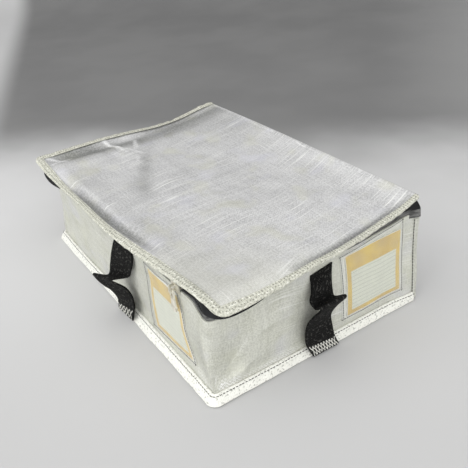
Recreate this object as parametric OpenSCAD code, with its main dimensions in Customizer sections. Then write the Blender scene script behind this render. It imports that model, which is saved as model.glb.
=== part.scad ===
// Fire-resistant storage bag for battery packs: a soft box of coated glass cloth with a zipped lid.
// Front is -Y, the lid hinges along the back at +Y, and the origin is the middle of the base.

/* [Bag] */
// Length over the outside of the side walls
bag_len = 288; // [230:1:380]
// Depth over the outside of the front and back walls
bag_dep = 190; // [180:1:280]
// Height of the wall cloth, up to its seam with the zip
wall_h = 76; // [66:1:120]
// Radius of the two front corners of the walls
corner_r = 10; // [7:0.5:18]

/* [Layers] */
// Thickness of the outer coated glass cloth
cloth_t = 1; // [0.6:0.1:1.6]
// Thickness of the insulating felt
felt_t = 2; // [1:0.1:4]
// Thickness of the inner lining
lining_t = 0.8; // [0.4:0.1:1.5]
// Gap between pieces that are sewn against each other
ply_gap = 0.1; // [0.05:0.05:0.2]
// Gap between pieces that move past each other
run_gap = 0.3; // [0.2:0.05:0.4]

/* [Bindings] */
// How far the bound edge of the lid stands out past the walls
brim = 7; // [7:0.5:12]
// Width of each leg of the folded tape round the lid
lid_bind_w = 7.5; // [5:0.5:7.5]
// Thickness of the binding tape
bind_t = 0.6; // [0.4:0.1:0.8]
// How far the bound foot seam stands out past the walls
foot_w = 6; // [4:0.5:9]
// Height of the bound foot seam against the wall
foot_h = 8; // [5:0.5:11.5]
// Width of the bound seams behind the two back corners
back_seam_w = 5; // [3:0.5:9]
// Thickness of the bound seams behind the two back corners
back_seam_t = 3; // [2:0.5:5]

/* [Zip] */
// Thickness of the zip tapes
tape_t = 0.8; // [0.5:0.1:1]
// Height of zip tape that shows above the wall cloth
tape_show = 3.4; // [2.5:0.1:6]
// Height of zip tape that is sewn in behind the wall cloth
tape_sewn = 6; // [4:0.5:10]
// Height of one row of teeth
row_h = 1.6; // [1.2:0.1:2]
// Thickness of one row of teeth
row_t = 2.2; // [1.6:0.1:2.6]
// Distance from the back wall at which the zip ends
zip_end = 9; // [8:0.5:30]
// Length of each end stop
stop_len = 3; // [2:0.5:4.5]
// Distance of the slider from the right end of the front
slider_inset = 36; // [20:1:120]
// Length of the slider
slider_len = 10; // [8:0.5:14]
// Height of the slider across both rows
slider_h = 7.4; // [7:0.1:9]
// Thickness of the slider's two plates
plate_t = 1.2; // [0.8:0.1:1.6]
// Thickness of the web that joins the plates between the rows
web_t = 0.6; // [0.4:0.1:1]
// Width of the crown that holds the pull
crown_w = 2; // [1.5:0.1:3]
// Height of the crown over its two feet
crown_h = 5.6; // [5:0.1:6.5]
// Thickness of the crown's metal
crown_wall = 1; // [0.8:0.1:1.2]
// Diameter of the bar at the top of the pull
pull_bar_d = 1.4; // [1:0.1:2]
// Width of the two rails beside the pull's eye
rail_w = 1.3; // [1:0.1:1.6]
// Length of the pull from its bar to its tip
pull_len = 19; // [14:0.5:20]
// Width of the pull at its round end
pull_w = 7; // [6:0.5:9]

/* [Straps] */
// Width of the webbing
strap_w = 25; // [20:1:38]
// Thickness of the webbing
strap_t = 1.5; // [1:0.1:2]
// Place of the front strap along the front, from the middle
front_strap_x = 15; // [-100:1:40]
// Length of webbing sewn flat on the wall below the zip seam
strap_sewn = 16; // [16:0.5:20]
// Length of webbing sewn down over the foot seam
strap_lap = 14; // [10:0.5:18]
// Distance out from the wall at which the straight runs of the fold would meet
strap_reach = 26; // [20:0.5:34]
// Drop from the sewn part to where the runs of the fold would meet
fold_drop = 5; // [3:0.5:8]
// Drop from the sewn part to where the runs of the upper bend would meet
bend_drop = 18; // [17:0.5:22]
// Radius of the upper bend along the middle of the webbing
bend_r = 2.2; // [1.5:0.1:3]
// Radius of the fold along the middle of the webbing
fold_r = 1.6; // [1:0.1:1.8]
// Radius of the sweep down to the foot along the middle of the webbing
sweep_r = 12; // [6:1:16]

/* [Card pockets] */
// Width of a pocket
pocket_w = 65; // [50:1:70]
// Height of the bottom of a pocket
pocket_z = 12; // [8.5:0.5:24]
// Distance of a pocket below the zip seam
pocket_drop = 1; // [0.5:0.5:10]
// Width of the sewn edge of a pocket
pocket_edge = 2.5; // [1.5:0.1:4]
// Thickness of the clear film
film_t = 0.4; // [0.2:0.1:0.6]
// Thickness of the card
card_t = 0.5; // [0.3:0.1:0.7]
// Room round the card inside its pocket
card_room = 1.5; // [0.5:0.1:3]
// Distance of the front pocket from the right end of the front
front_pocket_inset = 18; // [10:0.5:50]
// Distance of a side pocket from the right end of its wall
side_pocket_inset = 10; // [5:0.5:16]

/* [Hidden] */
$fn = 48;

// Finishes
cloth_colour = "#d8d9d4";
felt_colour = "#f0efe8";
binding_colour = "#f3f3ee";
zip_colour = "#222324";
metal_colour = "#d3cdb4";
webbing_colour = "#1c1c1e";
film_colour = "#e9eef0";
card_colour = "#e2c184";

// Layer places, measured outwards from the outer face of the walls
felt_out = -cloth_t - ply_gap;
lining_out = felt_out - felt_t - ply_gap;
stack_t = cloth_t + felt_t + lining_t + 2 * ply_gap;
back_y = bag_dep / 2;
side_end_y = back_y - stack_t - ply_gap;

// Zip heights, from the wall seam up to the underside of the lid
tape_out = felt_out;
tape_in = tape_out - tape_t;
row_mid = (tape_out + tape_in) / 2;
tape_top = wall_h + tape_show;
row_z = tape_top + ply_gap;
web_z = row_z + row_h + run_gap;
lid_row_z = web_z + web_t + run_gap;
lid_tape_z = lid_row_z + row_h + ply_gap;
slider_z = web_z + web_t / 2;
lid_z = slider_z + slider_h / 2 + 2 * run_gap;
lid_top = lid_z + stack_t;
zip_end_y = back_y - zip_end;

// Lid hinge line and the bound edge round the lid
hinge_y = back_y;
hinge_r = stack_t / 2;
hinge_z = lid_z + hinge_r;
lid_edge = brim - bind_t - ply_gap;
lid_back_y = hinge_y - hinge_r - ply_gap;
rim_top = lid_top - cloth_t - ply_gap;
rim_low = rim_top - tape_t - ply_gap - bind_t;

// Slider plates clear the rows of teeth on both faces
plate_out = row_mid + row_t / 2 + run_gap;
plate_in = row_mid - row_t / 2 - run_gap;
slider_x = bag_len / 2 - slider_inset;
web_start = slider_len / 8;

// The crown stands out far enough for the pull to hang clear of the sewn webbing
crown_root = plate_out + plate_t;
eye_depth = pull_bar_d + strap_t + 2 * run_gap;
bar_out = crown_root + eye_depth - run_gap - pull_bar_d / 2;
bar_z = slider_z - crown_h / 2 + crown_wall + run_gap + pull_bar_d / 2;
rail_in = crown_w / 2 + run_gap;
pull_t = pull_bar_d - ply_gap;
eye_len = crown_h;

// Straps hang clear of the bound foot seam
strap_line = foot_w + run_gap + strap_t / 2;
strap_flat = ply_gap + strap_t / 2;
strap_foot_z = cloth_t;
strap_low_z = strap_foot_z + strap_lap;
strap_leave_z = wall_h - strap_sewn;
strap_step = strap_line - strap_flat;
strap_top_z = strap_leave_z - strap_step - 2 * strap_t;
step_r = 2 * strap_t;

// Pockets, measured outwards from the wall
card_out = ply_gap + card_t;
film_out = card_out + ply_gap + film_t;
card_w = pocket_w - 2 * pocket_edge - 2 * card_room;
pocket_top = wall_h - pocket_drop;
front_pocket_x = bag_len / 2 - front_pocket_inset - pocket_w / 2;
side_pocket_x = bag_dep / 2 - side_pocket_inset - pocket_w / 2;

function unit(v) = v / norm(v);

// Points of an arc of radius r that rounds the corner b of the path a, b, c
function fillet(a, b, c, r, steps = 7) =
    let (u = unit(a - b), w = unit(c - b), half = acos(u * w) / 2)
    let (middle = b + unit(u + w) * r / sin(half))
    let (from = b + u * r / tan(half) - middle, to = b + w * r / tan(half) - middle)
    let (start = atan2(from[1], from[0]), turn = atan2(to[1], to[0]) - start)
    let (sweep = (turn + 540) % 360 - 180)
    [for (i = [0 : steps])
        middle + r * [cos(start + sweep * i / steps), sin(start + sweep * i / steps)]];

// Path through pts with each inner corner rounded by its radius
function rounded(pts, radii) = [
    pts[0],
    for (i = [1 : len(pts) - 2]) each fillet(pts[i - 1], pts[i], pts[i + 1], radii[i - 1]),
    pts[len(pts) - 1],
];

// Outline of a band of thickness t along a path whose two ends are upright
function band(path, t) =
    let (last = len(path) - 1)
    let (side = [for (i = [0 : last])
        let (run = i == 0 || i == last ? [0, -1] : unit(path[i + 1] - path[i - 1]))
        [-run[1], run[0]] * t / 2])
    concat([for (i = [0 : last]) path[i] + side[i]], [for (i = [last : -1 : 0]) path[i] - side[i]]);

// Frames of the three zipped walls: x to the right as seen from outside, -y outwards
module at_front() { translate([0, -bag_dep / 2, 0]) children(); }
module at_right() { translate([bag_len / 2, 0, 0]) rotate([0, 0, 90]) children(); }
module at_left() { translate([-bag_len / 2, 0, 0]) rotate([0, 0, -90]) children(); }

// Extrudes a section drawn as (distance out, height) along a wall, between two places
module along(from, to) {
    translate([from, 0, 0])
        rotate([90, 0, 90])
            linear_extrude(to - from)
                mirror([1, 0])
                    children();
}

// Sweeps such a section round the left, front and right walls, back to end_y
module round_walls(end_y) {
    side_start = -bag_dep / 2 + corner_r;
    at_front() along(-bag_len / 2 + corner_r, bag_len / 2 - corner_r) children();
    at_right() along(side_start, end_y) children();
    at_left() along(-end_y, -side_start) children();
    for (side = [-1, 1])
        translate([side * (bag_len / 2 - corner_r), side_start, 0])
            rotate([0, 0, side > 0 ? -90 : 180])
                rotate_extrude(angle = 90)
                    translate([corner_r, 0])
                        children();
}

// Section rectangle from two distances out and two heights
module strip(out, in, low, high) {
    translate([in, low]) square([out - in, high - low]);
}

// Plan of the bag at a distance out from the walls, back to end_y
module plan(out, end_y) {
    side_start = -bag_dep / 2 + corner_r;
    translate([-bag_len / 2 - out, side_start]) square([bag_len + 2 * out, end_y - side_start]);
    translate([-bag_len / 2 + corner_r, -bag_dep / 2 - out])
        square([bag_len - 2 * corner_r, corner_r + out]);
    for (side = [-1, 1])
        translate([side * (bag_len / 2 - corner_r), side_start]) circle(corner_r + out);
}

// Flat layer of that plan between two heights
module sheet(out, end_y, low, high) {
    translate([0, 0, low]) linear_extrude(high - low) plan(out, end_y);
}

// Flat layer of the back wall, between two distances in from its outer face
module back_sheet(out, in, half_len, low, high) {
    translate([-half_len, back_y - in, low]) cube([2 * half_len, in - out, high - low]);
}

module base_cloth() {
    color(cloth_colour) sheet(0, back_y, 0, cloth_t);
}

module base_felt() {
    low = cloth_t + ply_gap;
    color(felt_colour) sheet(-stack_t - ply_gap, side_end_y, low, low + felt_t);
}

module base_lining() {
    color(cloth_colour) sheet(-stack_t - ply_gap, side_end_y, stack_t - lining_t, stack_t);
}

module wall_cloth() {
    color(cloth_colour) round_walls(side_end_y) strip(0, -cloth_t, cloth_t + ply_gap, wall_h);
}

module wall_felt() {
    color(felt_colour)
        round_walls(side_end_y)
            strip(felt_out, felt_out - felt_t, cloth_t + ply_gap, wall_h - tape_sewn - ply_gap);
}

module wall_lining() {
    color(cloth_colour)
        round_walls(side_end_y) strip(lining_out, lining_out - lining_t, cloth_t + ply_gap, wall_h);
}

module back_cloth() {
    color(cloth_colour)
        back_sheet(0, cloth_t, bag_len / 2, cloth_t + ply_gap, lid_z - run_gap);
}

module back_felt() {
    color(felt_colour)
        back_sheet(-felt_out, felt_t - felt_out, bag_len / 2, cloth_t + ply_gap, wall_h);
}

module back_lining() {
    color(cloth_colour)
        back_sheet(-lining_out, stack_t, bag_len / 2, cloth_t + ply_gap, wall_h);
}

// Cloth edges of wall and base, folded into one taped seam that splays out at the foot
module base_binding() {
    nose = foot_w / 5;
    lip = foot_w / 3;
    color(binding_colour)
        round_walls(back_y)
            polygon([
                [ply_gap, 0], [foot_w - nose, 0], [foot_w, nose], [foot_w, 2 * nose],
                [lip, foot_h], [ply_gap, foot_h],
            ]);
}

// Taped upright seam where a side wall meets the back, standing out behind the corner
module seam_binding(side) {
    low = cloth_t + ply_gap;
    color(binding_colour)
        translate([side * (bag_len / 2 - back_seam_t / 2), back_y + ply_gap, low])
            linear_extrude(wall_h - low) {
                translate([-back_seam_t / 2, 0]) square([back_seam_t, back_seam_w - back_seam_t / 2]);
                translate([0, back_seam_w - back_seam_t / 2]) circle(d = back_seam_t);
            }
}

module left_seam_binding() { seam_binding(-1); }
module right_seam_binding() { seam_binding(1); }

module wall_zip_tape() {
    color(zip_colour)
        round_walls(zip_end_y + stop_len) strip(tape_out, tape_in, wall_h - tape_sewn, tape_top);
}

module wall_zip_teeth() {
    color(zip_colour)
        round_walls(zip_end_y)
            strip(row_mid + row_t / 2, row_mid - row_t / 2, row_z, row_z + row_h);
}

// One stop on the wall tape beyond each end of its row of teeth
module zip_stops() {
    color(metal_colour)
        for (side = [-1, 1])
            translate([side * (bag_len / 2 + row_mid) - row_t / 2, zip_end_y + ply_gap, row_z])
                cube([row_t, stop_len - ply_gap, row_h + run_gap]);
}

// Top cloth of the lid, rolled over the hinge line at its back edge
module lid_cloth() {
    half_len = bag_len / 2 + lid_edge;
    color(cloth_colour) {
        sheet(lid_edge, hinge_y, lid_top - cloth_t, lid_top);
        translate([-half_len, hinge_y, hinge_z]) rotate([0, 90, 0]) cylinder(r = hinge_r, h = 2 * half_len);
    }
}

module lid_felt() {
    low = lid_z + lining_t + ply_gap;
    color(felt_colour) sheet(tape_in - ply_gap, lid_back_y, low, low + felt_t);
}

module lid_lining() {
    color(cloth_colour) sheet(tape_in - ply_gap, lid_back_y, lid_z, lid_z + lining_t);
}

// Tape folded over the edge of the lid cloth and the lid's zip tape
module lid_binding() {
    color(binding_colour)
        round_walls(lid_back_y) {
            strip(brim, brim - lid_bind_w, lid_top + ply_gap, lid_top + ply_gap + bind_t);
            strip(brim, brim - bind_t, rim_low, lid_top + ply_gap + bind_t);
            strip(brim, brim - lid_bind_w, rim_low, rim_low + bind_t);
        }
}

// Zip tape of the lid: out into the bound edge, and down to its row of teeth
module lid_zip_tape() {
    color(zip_colour)
        round_walls(zip_end_y) {
            strip(lid_edge, tape_in, rim_top - tape_t, rim_top);
            strip(tape_out, tape_in, lid_tape_z, rim_top);
        }
}

module lid_zip_teeth() {
    color(zip_colour)
        round_walls(zip_end_y)
            strip(row_mid + row_t / 2, row_mid - row_t / 2, lid_row_z, lid_row_z + row_h);
}

// Two plates joined by a web between the rows, with an upright crown that holds the pull
module zip_slider() {
    low = slider_z - slider_h / 2;
    high = slider_z + slider_h / 2;
    crown_low = slider_z - crown_h / 2;
    crown_high = slider_z + crown_h / 2;
    color(metal_colour)
        at_front()
            translate([slider_x, 0, 0]) {
                along(-slider_len / 2, slider_len / 2) {
                    strip(crown_root, plate_out, low, high);
                    strip(plate_in, plate_in - plate_t, low, high);
                }
                along(web_start, slider_len / 2) strip(plate_out, plate_in, web_z, web_z + web_t);
                along(-crown_w / 2, crown_w / 2)
                    difference() {
                        strip(crown_root + eye_depth + crown_wall, crown_root, crown_low, crown_high);
                        strip(crown_root + eye_depth, crown_root,
                            crown_low + crown_wall, crown_high - crown_wall);
                    }
            }
}

// Flat tab with a round end, hung on the crown by the bar at the top of its eye
module zip_pull() {
    half_bar = rail_in + rail_w;
    tab_top = -eye_len;
    tip_z = -pull_len + pull_w / 2;
    color(metal_colour)
        at_front()
            translate([slider_x, -bar_out, bar_z]) {
                translate([-half_bar, 0, 0]) rotate([0, 90, 0]) cylinder(d = pull_bar_d, h = 2 * half_bar);
                translate([0, pull_t / 2, 0])
                    rotate([90, 0, 0])
                        linear_extrude(pull_t) {
                            for (side = [-1, 1])
                                translate([side * (rail_in + rail_w / 2) - rail_w / 2, tab_top])
                                    square([rail_w, eye_len]);
                            translate([-half_bar, tip_z]) square([2 * half_bar, tab_top - tip_z]);
                            translate([0, tip_z]) circle(d = pull_w);
                        }
            }
}

// Free loop of a strap: down, out to the point of its fold, and back to the foot
module strap_loop() {
    path = rounded([
        [strap_line, strap_top_z - run_gap],
        [strap_line, strap_leave_z - bend_drop],
        [strap_reach, strap_leave_z - fold_drop],
        [strap_line, strap_low_z + sweep_r / 2],
        [strap_line, strap_low_z + run_gap],
    ], [bend_r, fold_r, sweep_r]);
    color(webbing_colour) along(-strap_w / 2, strap_w / 2) polygon(band(path, strap_t));
}

// Sewn ends of a strap: the upper one flat on the wall, the lower one on the foot seam
module strap_ends() {
    path = rounded([
        [strap_flat, wall_h],
        [strap_flat, strap_leave_z],
        [strap_line, strap_leave_z - strap_step],
        [strap_line, strap_top_z],
    ], [step_r, step_r]);
    color(webbing_colour)
        along(-strap_w / 2, strap_w / 2) {
            polygon(band(path, strap_t));
            strip(strap_line + strap_t / 2, strap_line - strap_t / 2, strap_foot_z, strap_low_z);
        }
}

module front_strap() { at_front() translate([front_strap_x, 0, 0]) strap_loop(); }
module right_strap() { at_right() strap_loop(); }
module left_strap() { at_left() strap_loop(); }
module front_strap_ends() { at_front() translate([front_strap_x, 0, 0]) strap_ends(); }
module right_strap_ends() { at_right() strap_ends(); }
module left_strap_ends() { at_left() strap_ends(); }

// Clear film with its four sewn edges standing on the wall
module pocket() {
    half_w = pocket_w / 2;
    color(film_colour) {
        along(-half_w, half_w) {
            strip(film_out, film_out - film_t, pocket_z, pocket_top);
            strip(film_out, ply_gap, pocket_z, pocket_z + pocket_edge);
            strip(film_out, ply_gap, pocket_top - pocket_edge, pocket_top);
        }
        for (side = [-1, 1])
            translate([side * (half_w - pocket_edge / 2), 0, 0])
                along(-pocket_edge / 2, pocket_edge / 2) strip(film_out, ply_gap, pocket_z, pocket_top);
    }
}

module card() {
    margin = pocket_edge + card_room;
    color(card_colour)
        along(-card_w / 2, card_w / 2)
            strip(card_out, ply_gap, pocket_z + margin, pocket_top - margin);
}

module front_pocket() { at_front() translate([front_pocket_x, 0, 0]) pocket(); }
module right_pocket() { at_right() translate([side_pocket_x, 0, 0]) pocket(); }
module left_pocket() { at_left() translate([side_pocket_x, 0, 0]) pocket(); }
module front_card() { at_front() translate([front_pocket_x, 0, 0]) card(); }
module right_card() { at_right() translate([side_pocket_x, 0, 0]) card(); }
module left_card() { at_left() translate([side_pocket_x, 0, 0]) card(); }

base_cloth();
base_felt();
base_lining();
wall_cloth();
wall_felt();
wall_lining();
back_cloth();
back_felt();
back_lining();
base_binding();
left_seam_binding();
right_seam_binding();
wall_zip_tape();
wall_zip_teeth();
zip_stops();
lid_cloth();
lid_felt();
lid_lining();
lid_binding();
lid_zip_tape();
lid_zip_teeth();
zip_slider();
zip_pull();
front_strap();
right_strap();
left_strap();
front_strap_ends();
right_strap_ends();
left_strap_ends();
front_pocket();
right_pocket();
left_pocket();
front_card();
right_card();
left_card();
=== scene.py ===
"""Looks of the fire-resistant battery bag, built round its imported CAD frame.

Shapes are worked out in millimetres in the frame of the CAD part, and turned into metres when a mesh is
made.
"""

import logging
import math
from dataclasses import dataclass, replace
from enum import Enum
from typing import Sequence

import bmesh
import bpy
import numpy as np
from mathutils import Matrix, Vector


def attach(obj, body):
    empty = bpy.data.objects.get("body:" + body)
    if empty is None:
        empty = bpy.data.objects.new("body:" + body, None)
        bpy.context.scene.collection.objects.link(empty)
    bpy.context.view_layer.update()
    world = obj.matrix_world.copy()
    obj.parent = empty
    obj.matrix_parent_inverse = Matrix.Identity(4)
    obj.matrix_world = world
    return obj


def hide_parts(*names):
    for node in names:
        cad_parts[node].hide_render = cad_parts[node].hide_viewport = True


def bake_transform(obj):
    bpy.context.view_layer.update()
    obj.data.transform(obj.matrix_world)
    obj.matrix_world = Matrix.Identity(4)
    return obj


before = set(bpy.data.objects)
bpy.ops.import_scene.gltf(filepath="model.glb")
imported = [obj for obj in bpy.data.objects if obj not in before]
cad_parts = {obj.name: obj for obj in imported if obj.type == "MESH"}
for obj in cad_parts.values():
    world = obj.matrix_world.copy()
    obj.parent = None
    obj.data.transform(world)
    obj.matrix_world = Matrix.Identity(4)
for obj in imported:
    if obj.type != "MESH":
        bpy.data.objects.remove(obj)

LOG = logging.getLogger("battery_bag")
MM = 0.001
UV_NAME = "cloth_mm"
# Name of the vertex attribute of painted light: painted shade in folds where positive, painted glints where
# negative.
SHADE_NAME = "fold_painted_light"
OUT_NAME = "out_dir"
CARD_SIZE = (57.0, 57.0)
# Settings of a node that maps a range smoothly, and of one that mixes two colours.
SMOOTH = {"interpolation_type": "SMOOTHSTEP"}
COLOUR_MIX = {"out": 2, "data_type": "RGBA"}
Colour = tuple[float, float, float, float]
Edge = tuple[tuple[float, float, float], ...]
Rows = Sequence[tuple[np.ndarray, np.ndarray]]


class Side(Enum):
    """Walls that carry a strap and a pocket."""

    FRONT = "front"
    RIGHT = "right"
    LEFT = "left"


def srgb(code: str) -> Colour:
    """Turns an sRGB hex code into a linear colour.

    Args:
        code: Colour such as "#d8d9d4".

    Returns:
        Linear red, green, blue and an alpha of 1.
    """
    parts = [int(code[i:i + 2], 16) / 255 for i in (1, 3, 5)]
    red, green, blue = (p / 12.92 if p <= 0.04045 else ((p + 0.055) / 1.055) ** 2.4 for p in parts)
    return red, green, blue, 1.0


def ease(t: np.ndarray) -> np.ndarray:
    """Smooth step from 0 to 1."""
    t = np.clip(t, 0.0, 1.0)
    return t * t * (3 - 2 * t)


def spline(table: Sequence[tuple[float, float]], at: np.ndarray) -> np.ndarray:
    """Smooth curve through a table of places and values.

    Args:
        table: Pairs of place and value, in rising order of place.
        at: Places to read, held at the ends of the table.

    Returns:
        The values there.
    """
    x, y = (np.array(c, float) for c in zip(*table))
    slope = np.gradient(y, x)
    at = np.clip(at, x[0], x[-1])
    i = np.clip(np.searchsorted(x, at, side="right") - 1, 0, len(x) - 2)
    h = x[i + 1] - x[i]
    t = (at - x[i]) / h
    low = (1 + 2 * t) * (1 - t) ** 2 * y[i] + t * (1 - t) ** 2 * h * slope[i]
    return low + t * t * (3 - 2 * t) * y[i + 1] + t * t * (t - 1) * h * slope[i + 1]


def ripples(u: np.ndarray, v: np.ndarray, wavelength: float, seed: int, count: int = 9) -> np.ndarray:
    """Soft unevenness of cloth as a seeded sum of plane waves.

    Args:
        u: First place on the cloth, in mm.
        v: Second place on the cloth, in mm.
        wavelength: Typical distance from crest to crest, in mm.
        seed: Seed of the waves.
        count: Number of waves.

    Returns:
        Heights of about -1 to 1.
    """
    rng = np.random.default_rng(seed)
    total = np.zeros(np.broadcast(u, v).shape)
    for _ in range(count):
        turn, phase = rng.uniform(0, 2 * math.pi, 2)
        k = 2 * math.pi / (wavelength * rng.uniform(0.7, 1.6))
        total += np.sin(k * (u * math.cos(turn) + v * math.sin(turn)) + phase)
    return total / math.sqrt(2 * count)


@dataclass(frozen=True)
class Crease:
    """Ridge, or dent where height is negative, along a line on a sheet, in mm."""

    start: tuple[float, float]
    end: tuple[float, float]
    width: float
    height: float

    def lift(self, u: np.ndarray, v: np.ndarray) -> np.ndarray:
        """Height of the crease.

        Args:
            u: First place on the sheet.
            v: Second place on the sheet.

        Returns:
            Height at each place.
        """
        (u0, v0), (u1, v1) = self.start, self.end
        run = (u1 - u0) ** 2 + (v1 - v0) ** 2
        t = np.clip(((u - u0) * (u1 - u0) + (v - v0) * (v1 - v0)) / run, 0, 1)
        away = np.hypot(u - u0 - t * (u1 - u0), v - v0 - t * (v1 - v0))
        return self.height * np.exp(-((away / self.width) ** 2)) * (0.35 + 2.6 * t * (1 - t))


def finish_mesh(name: str, verts: np.ndarray, faces: list, uvs: np.ndarray,
                angle: float = 40) -> bpy.types.Object:
    """Makes a closed, smooth-shaded mesh object at the origin.

    Args:
        name: Object name.
        verts: Points in mm.
        faces: Vertex numbers of each face.
        uvs: Cloth place of each vertex, in mm.
        angle: Edges sharper than this, in degrees, stay sharp.

    Returns:
        The new object.
    """
    mesh = bpy.data.meshes.new(name)
    mesh.from_pydata((np.asarray(verts) * MM).tolist(), [], faces)
    layer = mesh.uv_layers.new(name=UV_NAME)
    loops = np.zeros(len(mesh.loops), np.int32)
    mesh.loops.foreach_get("vertex_index", loops)
    layer.data.foreach_set("uv", np.asarray(uvs, np.float32)[loops].ravel())
    work = bmesh.new()
    work.from_mesh(mesh)
    bmesh.ops.recalc_face_normals(work, faces=work.faces)
    work.to_mesh(mesh)
    work.free()
    mesh.shade_smooth()
    mesh.set_sharp_from_angle(angle=math.radians(angle))
    obj = bpy.data.objects.new(name, mesh)
    bpy.context.scene.collection.objects.link(obj)
    return obj


def thick_sheet(name: str, top: np.ndarray, under: np.ndarray, uv: np.ndarray,
                painted_shade: np.ndarray | None = None) -> bpy.types.Object:
    """Closed sheet between two grids of points.

    Args:
        name: Object name.
        top: Grid of points on one face, rows by columns by 3.
        under: Grid of points on the other face.
        uv: Cloth place of each grid point, rows by columns by 2.
        painted_shade: Share of painted shade at each grid point, which darkens its folds; a share below 0
            is a painted glint.

    Returns:
        The new object.
    """
    rows, cols = top.shape[:2]
    number = np.arange(rows * cols).reshape(rows, cols)
    a, b = number[:-1, :-1].ravel(), number[:-1, 1:].ravel()
    c, d = number[1:, 1:].ravel(), number[1:, :-1].ravel()
    far = rows * cols
    faces = np.stack([a, b, c, d], 1).tolist() + (np.stack([d, c, b, a], 1) + far).tolist()
    ring = np.concatenate([number[0, :-1], number[:-1, -1], number[-1, :0:-1], number[:0:-1, 0]])
    after = np.roll(ring, -1)
    faces += np.stack([after, ring, ring + far, after + far], 1).tolist()
    verts = np.concatenate([top.reshape(-1, 3), under.reshape(-1, 3)])
    obj = finish_mesh(name, verts, faces, np.concatenate([uv.reshape(-1, 2)] * 2))
    if painted_shade is not None:
        layer = obj.data.attributes.new(SHADE_NAME, "FLOAT", "POINT")
        layer.data.foreach_set("value", np.concatenate([painted_shade.ravel()] * 2).astype(np.float32))
    return obj


def tube(name: str, rings: np.ndarray, angle: float = 40) -> bpy.types.Object:
    """Closed band through rings of points, with both ends filled.

    Args:
        name: Object name.
        rings: Rings by points by 3, each ring going once round.
        angle: Edges sharper than this, in degrees, stay sharp.

    Returns:
        The new object.
    """
    count, size = rings.shape[:2]
    number = np.arange(count * size).reshape(count, size)
    turned = np.roll(number, -1, 1)
    faces = np.stack([number[:-1], turned[:-1], turned[1:], number[1:]], 2).reshape(-1, 4).tolist()
    faces += [number[0, ::-1].tolist(), number[-1].tolist()]
    along = np.concatenate([[0], np.cumsum(np.linalg.norm(np.diff(rings.mean(1), axis=0), axis=1))])
    around = np.concatenate([[0], np.cumsum(np.linalg.norm(np.diff(rings[0], axis=0), axis=1))])
    uv = np.stack(np.meshgrid(along, around, indexing="ij"), 2).reshape(-1, 2)
    return finish_mesh(name, rings.reshape(-1, 3), faces, uv, angle)


def add_node(tree: bpy.types.NodeTree, kind: str, inputs: dict | None = None, **settings) -> bpy.types.Node:
    """Adds a node with its settings and links.

    Args:
        tree: Tree that gets the node.
        kind: Node type.
        inputs: Value or output socket for each input by name or number.
        settings: Node properties.

    Returns:
        The node.
    """
    node = tree.nodes.new(kind)
    for key, value in settings.items():
        setattr(node, key, value)
    for key, value in (inputs or {}).items():
        if isinstance(value, bpy.types.NodeSocket):
            tree.links.new(value, node.inputs[key])
        else:
            node.inputs[key].default_value = value
    return node


@dataclass(frozen=True)
class Repeat:
    """Sizes of one element that repeats along a path, in mm."""

    pitch: float
    length: float
    width: float
    height: float
    jitter: float = 0.0


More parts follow.
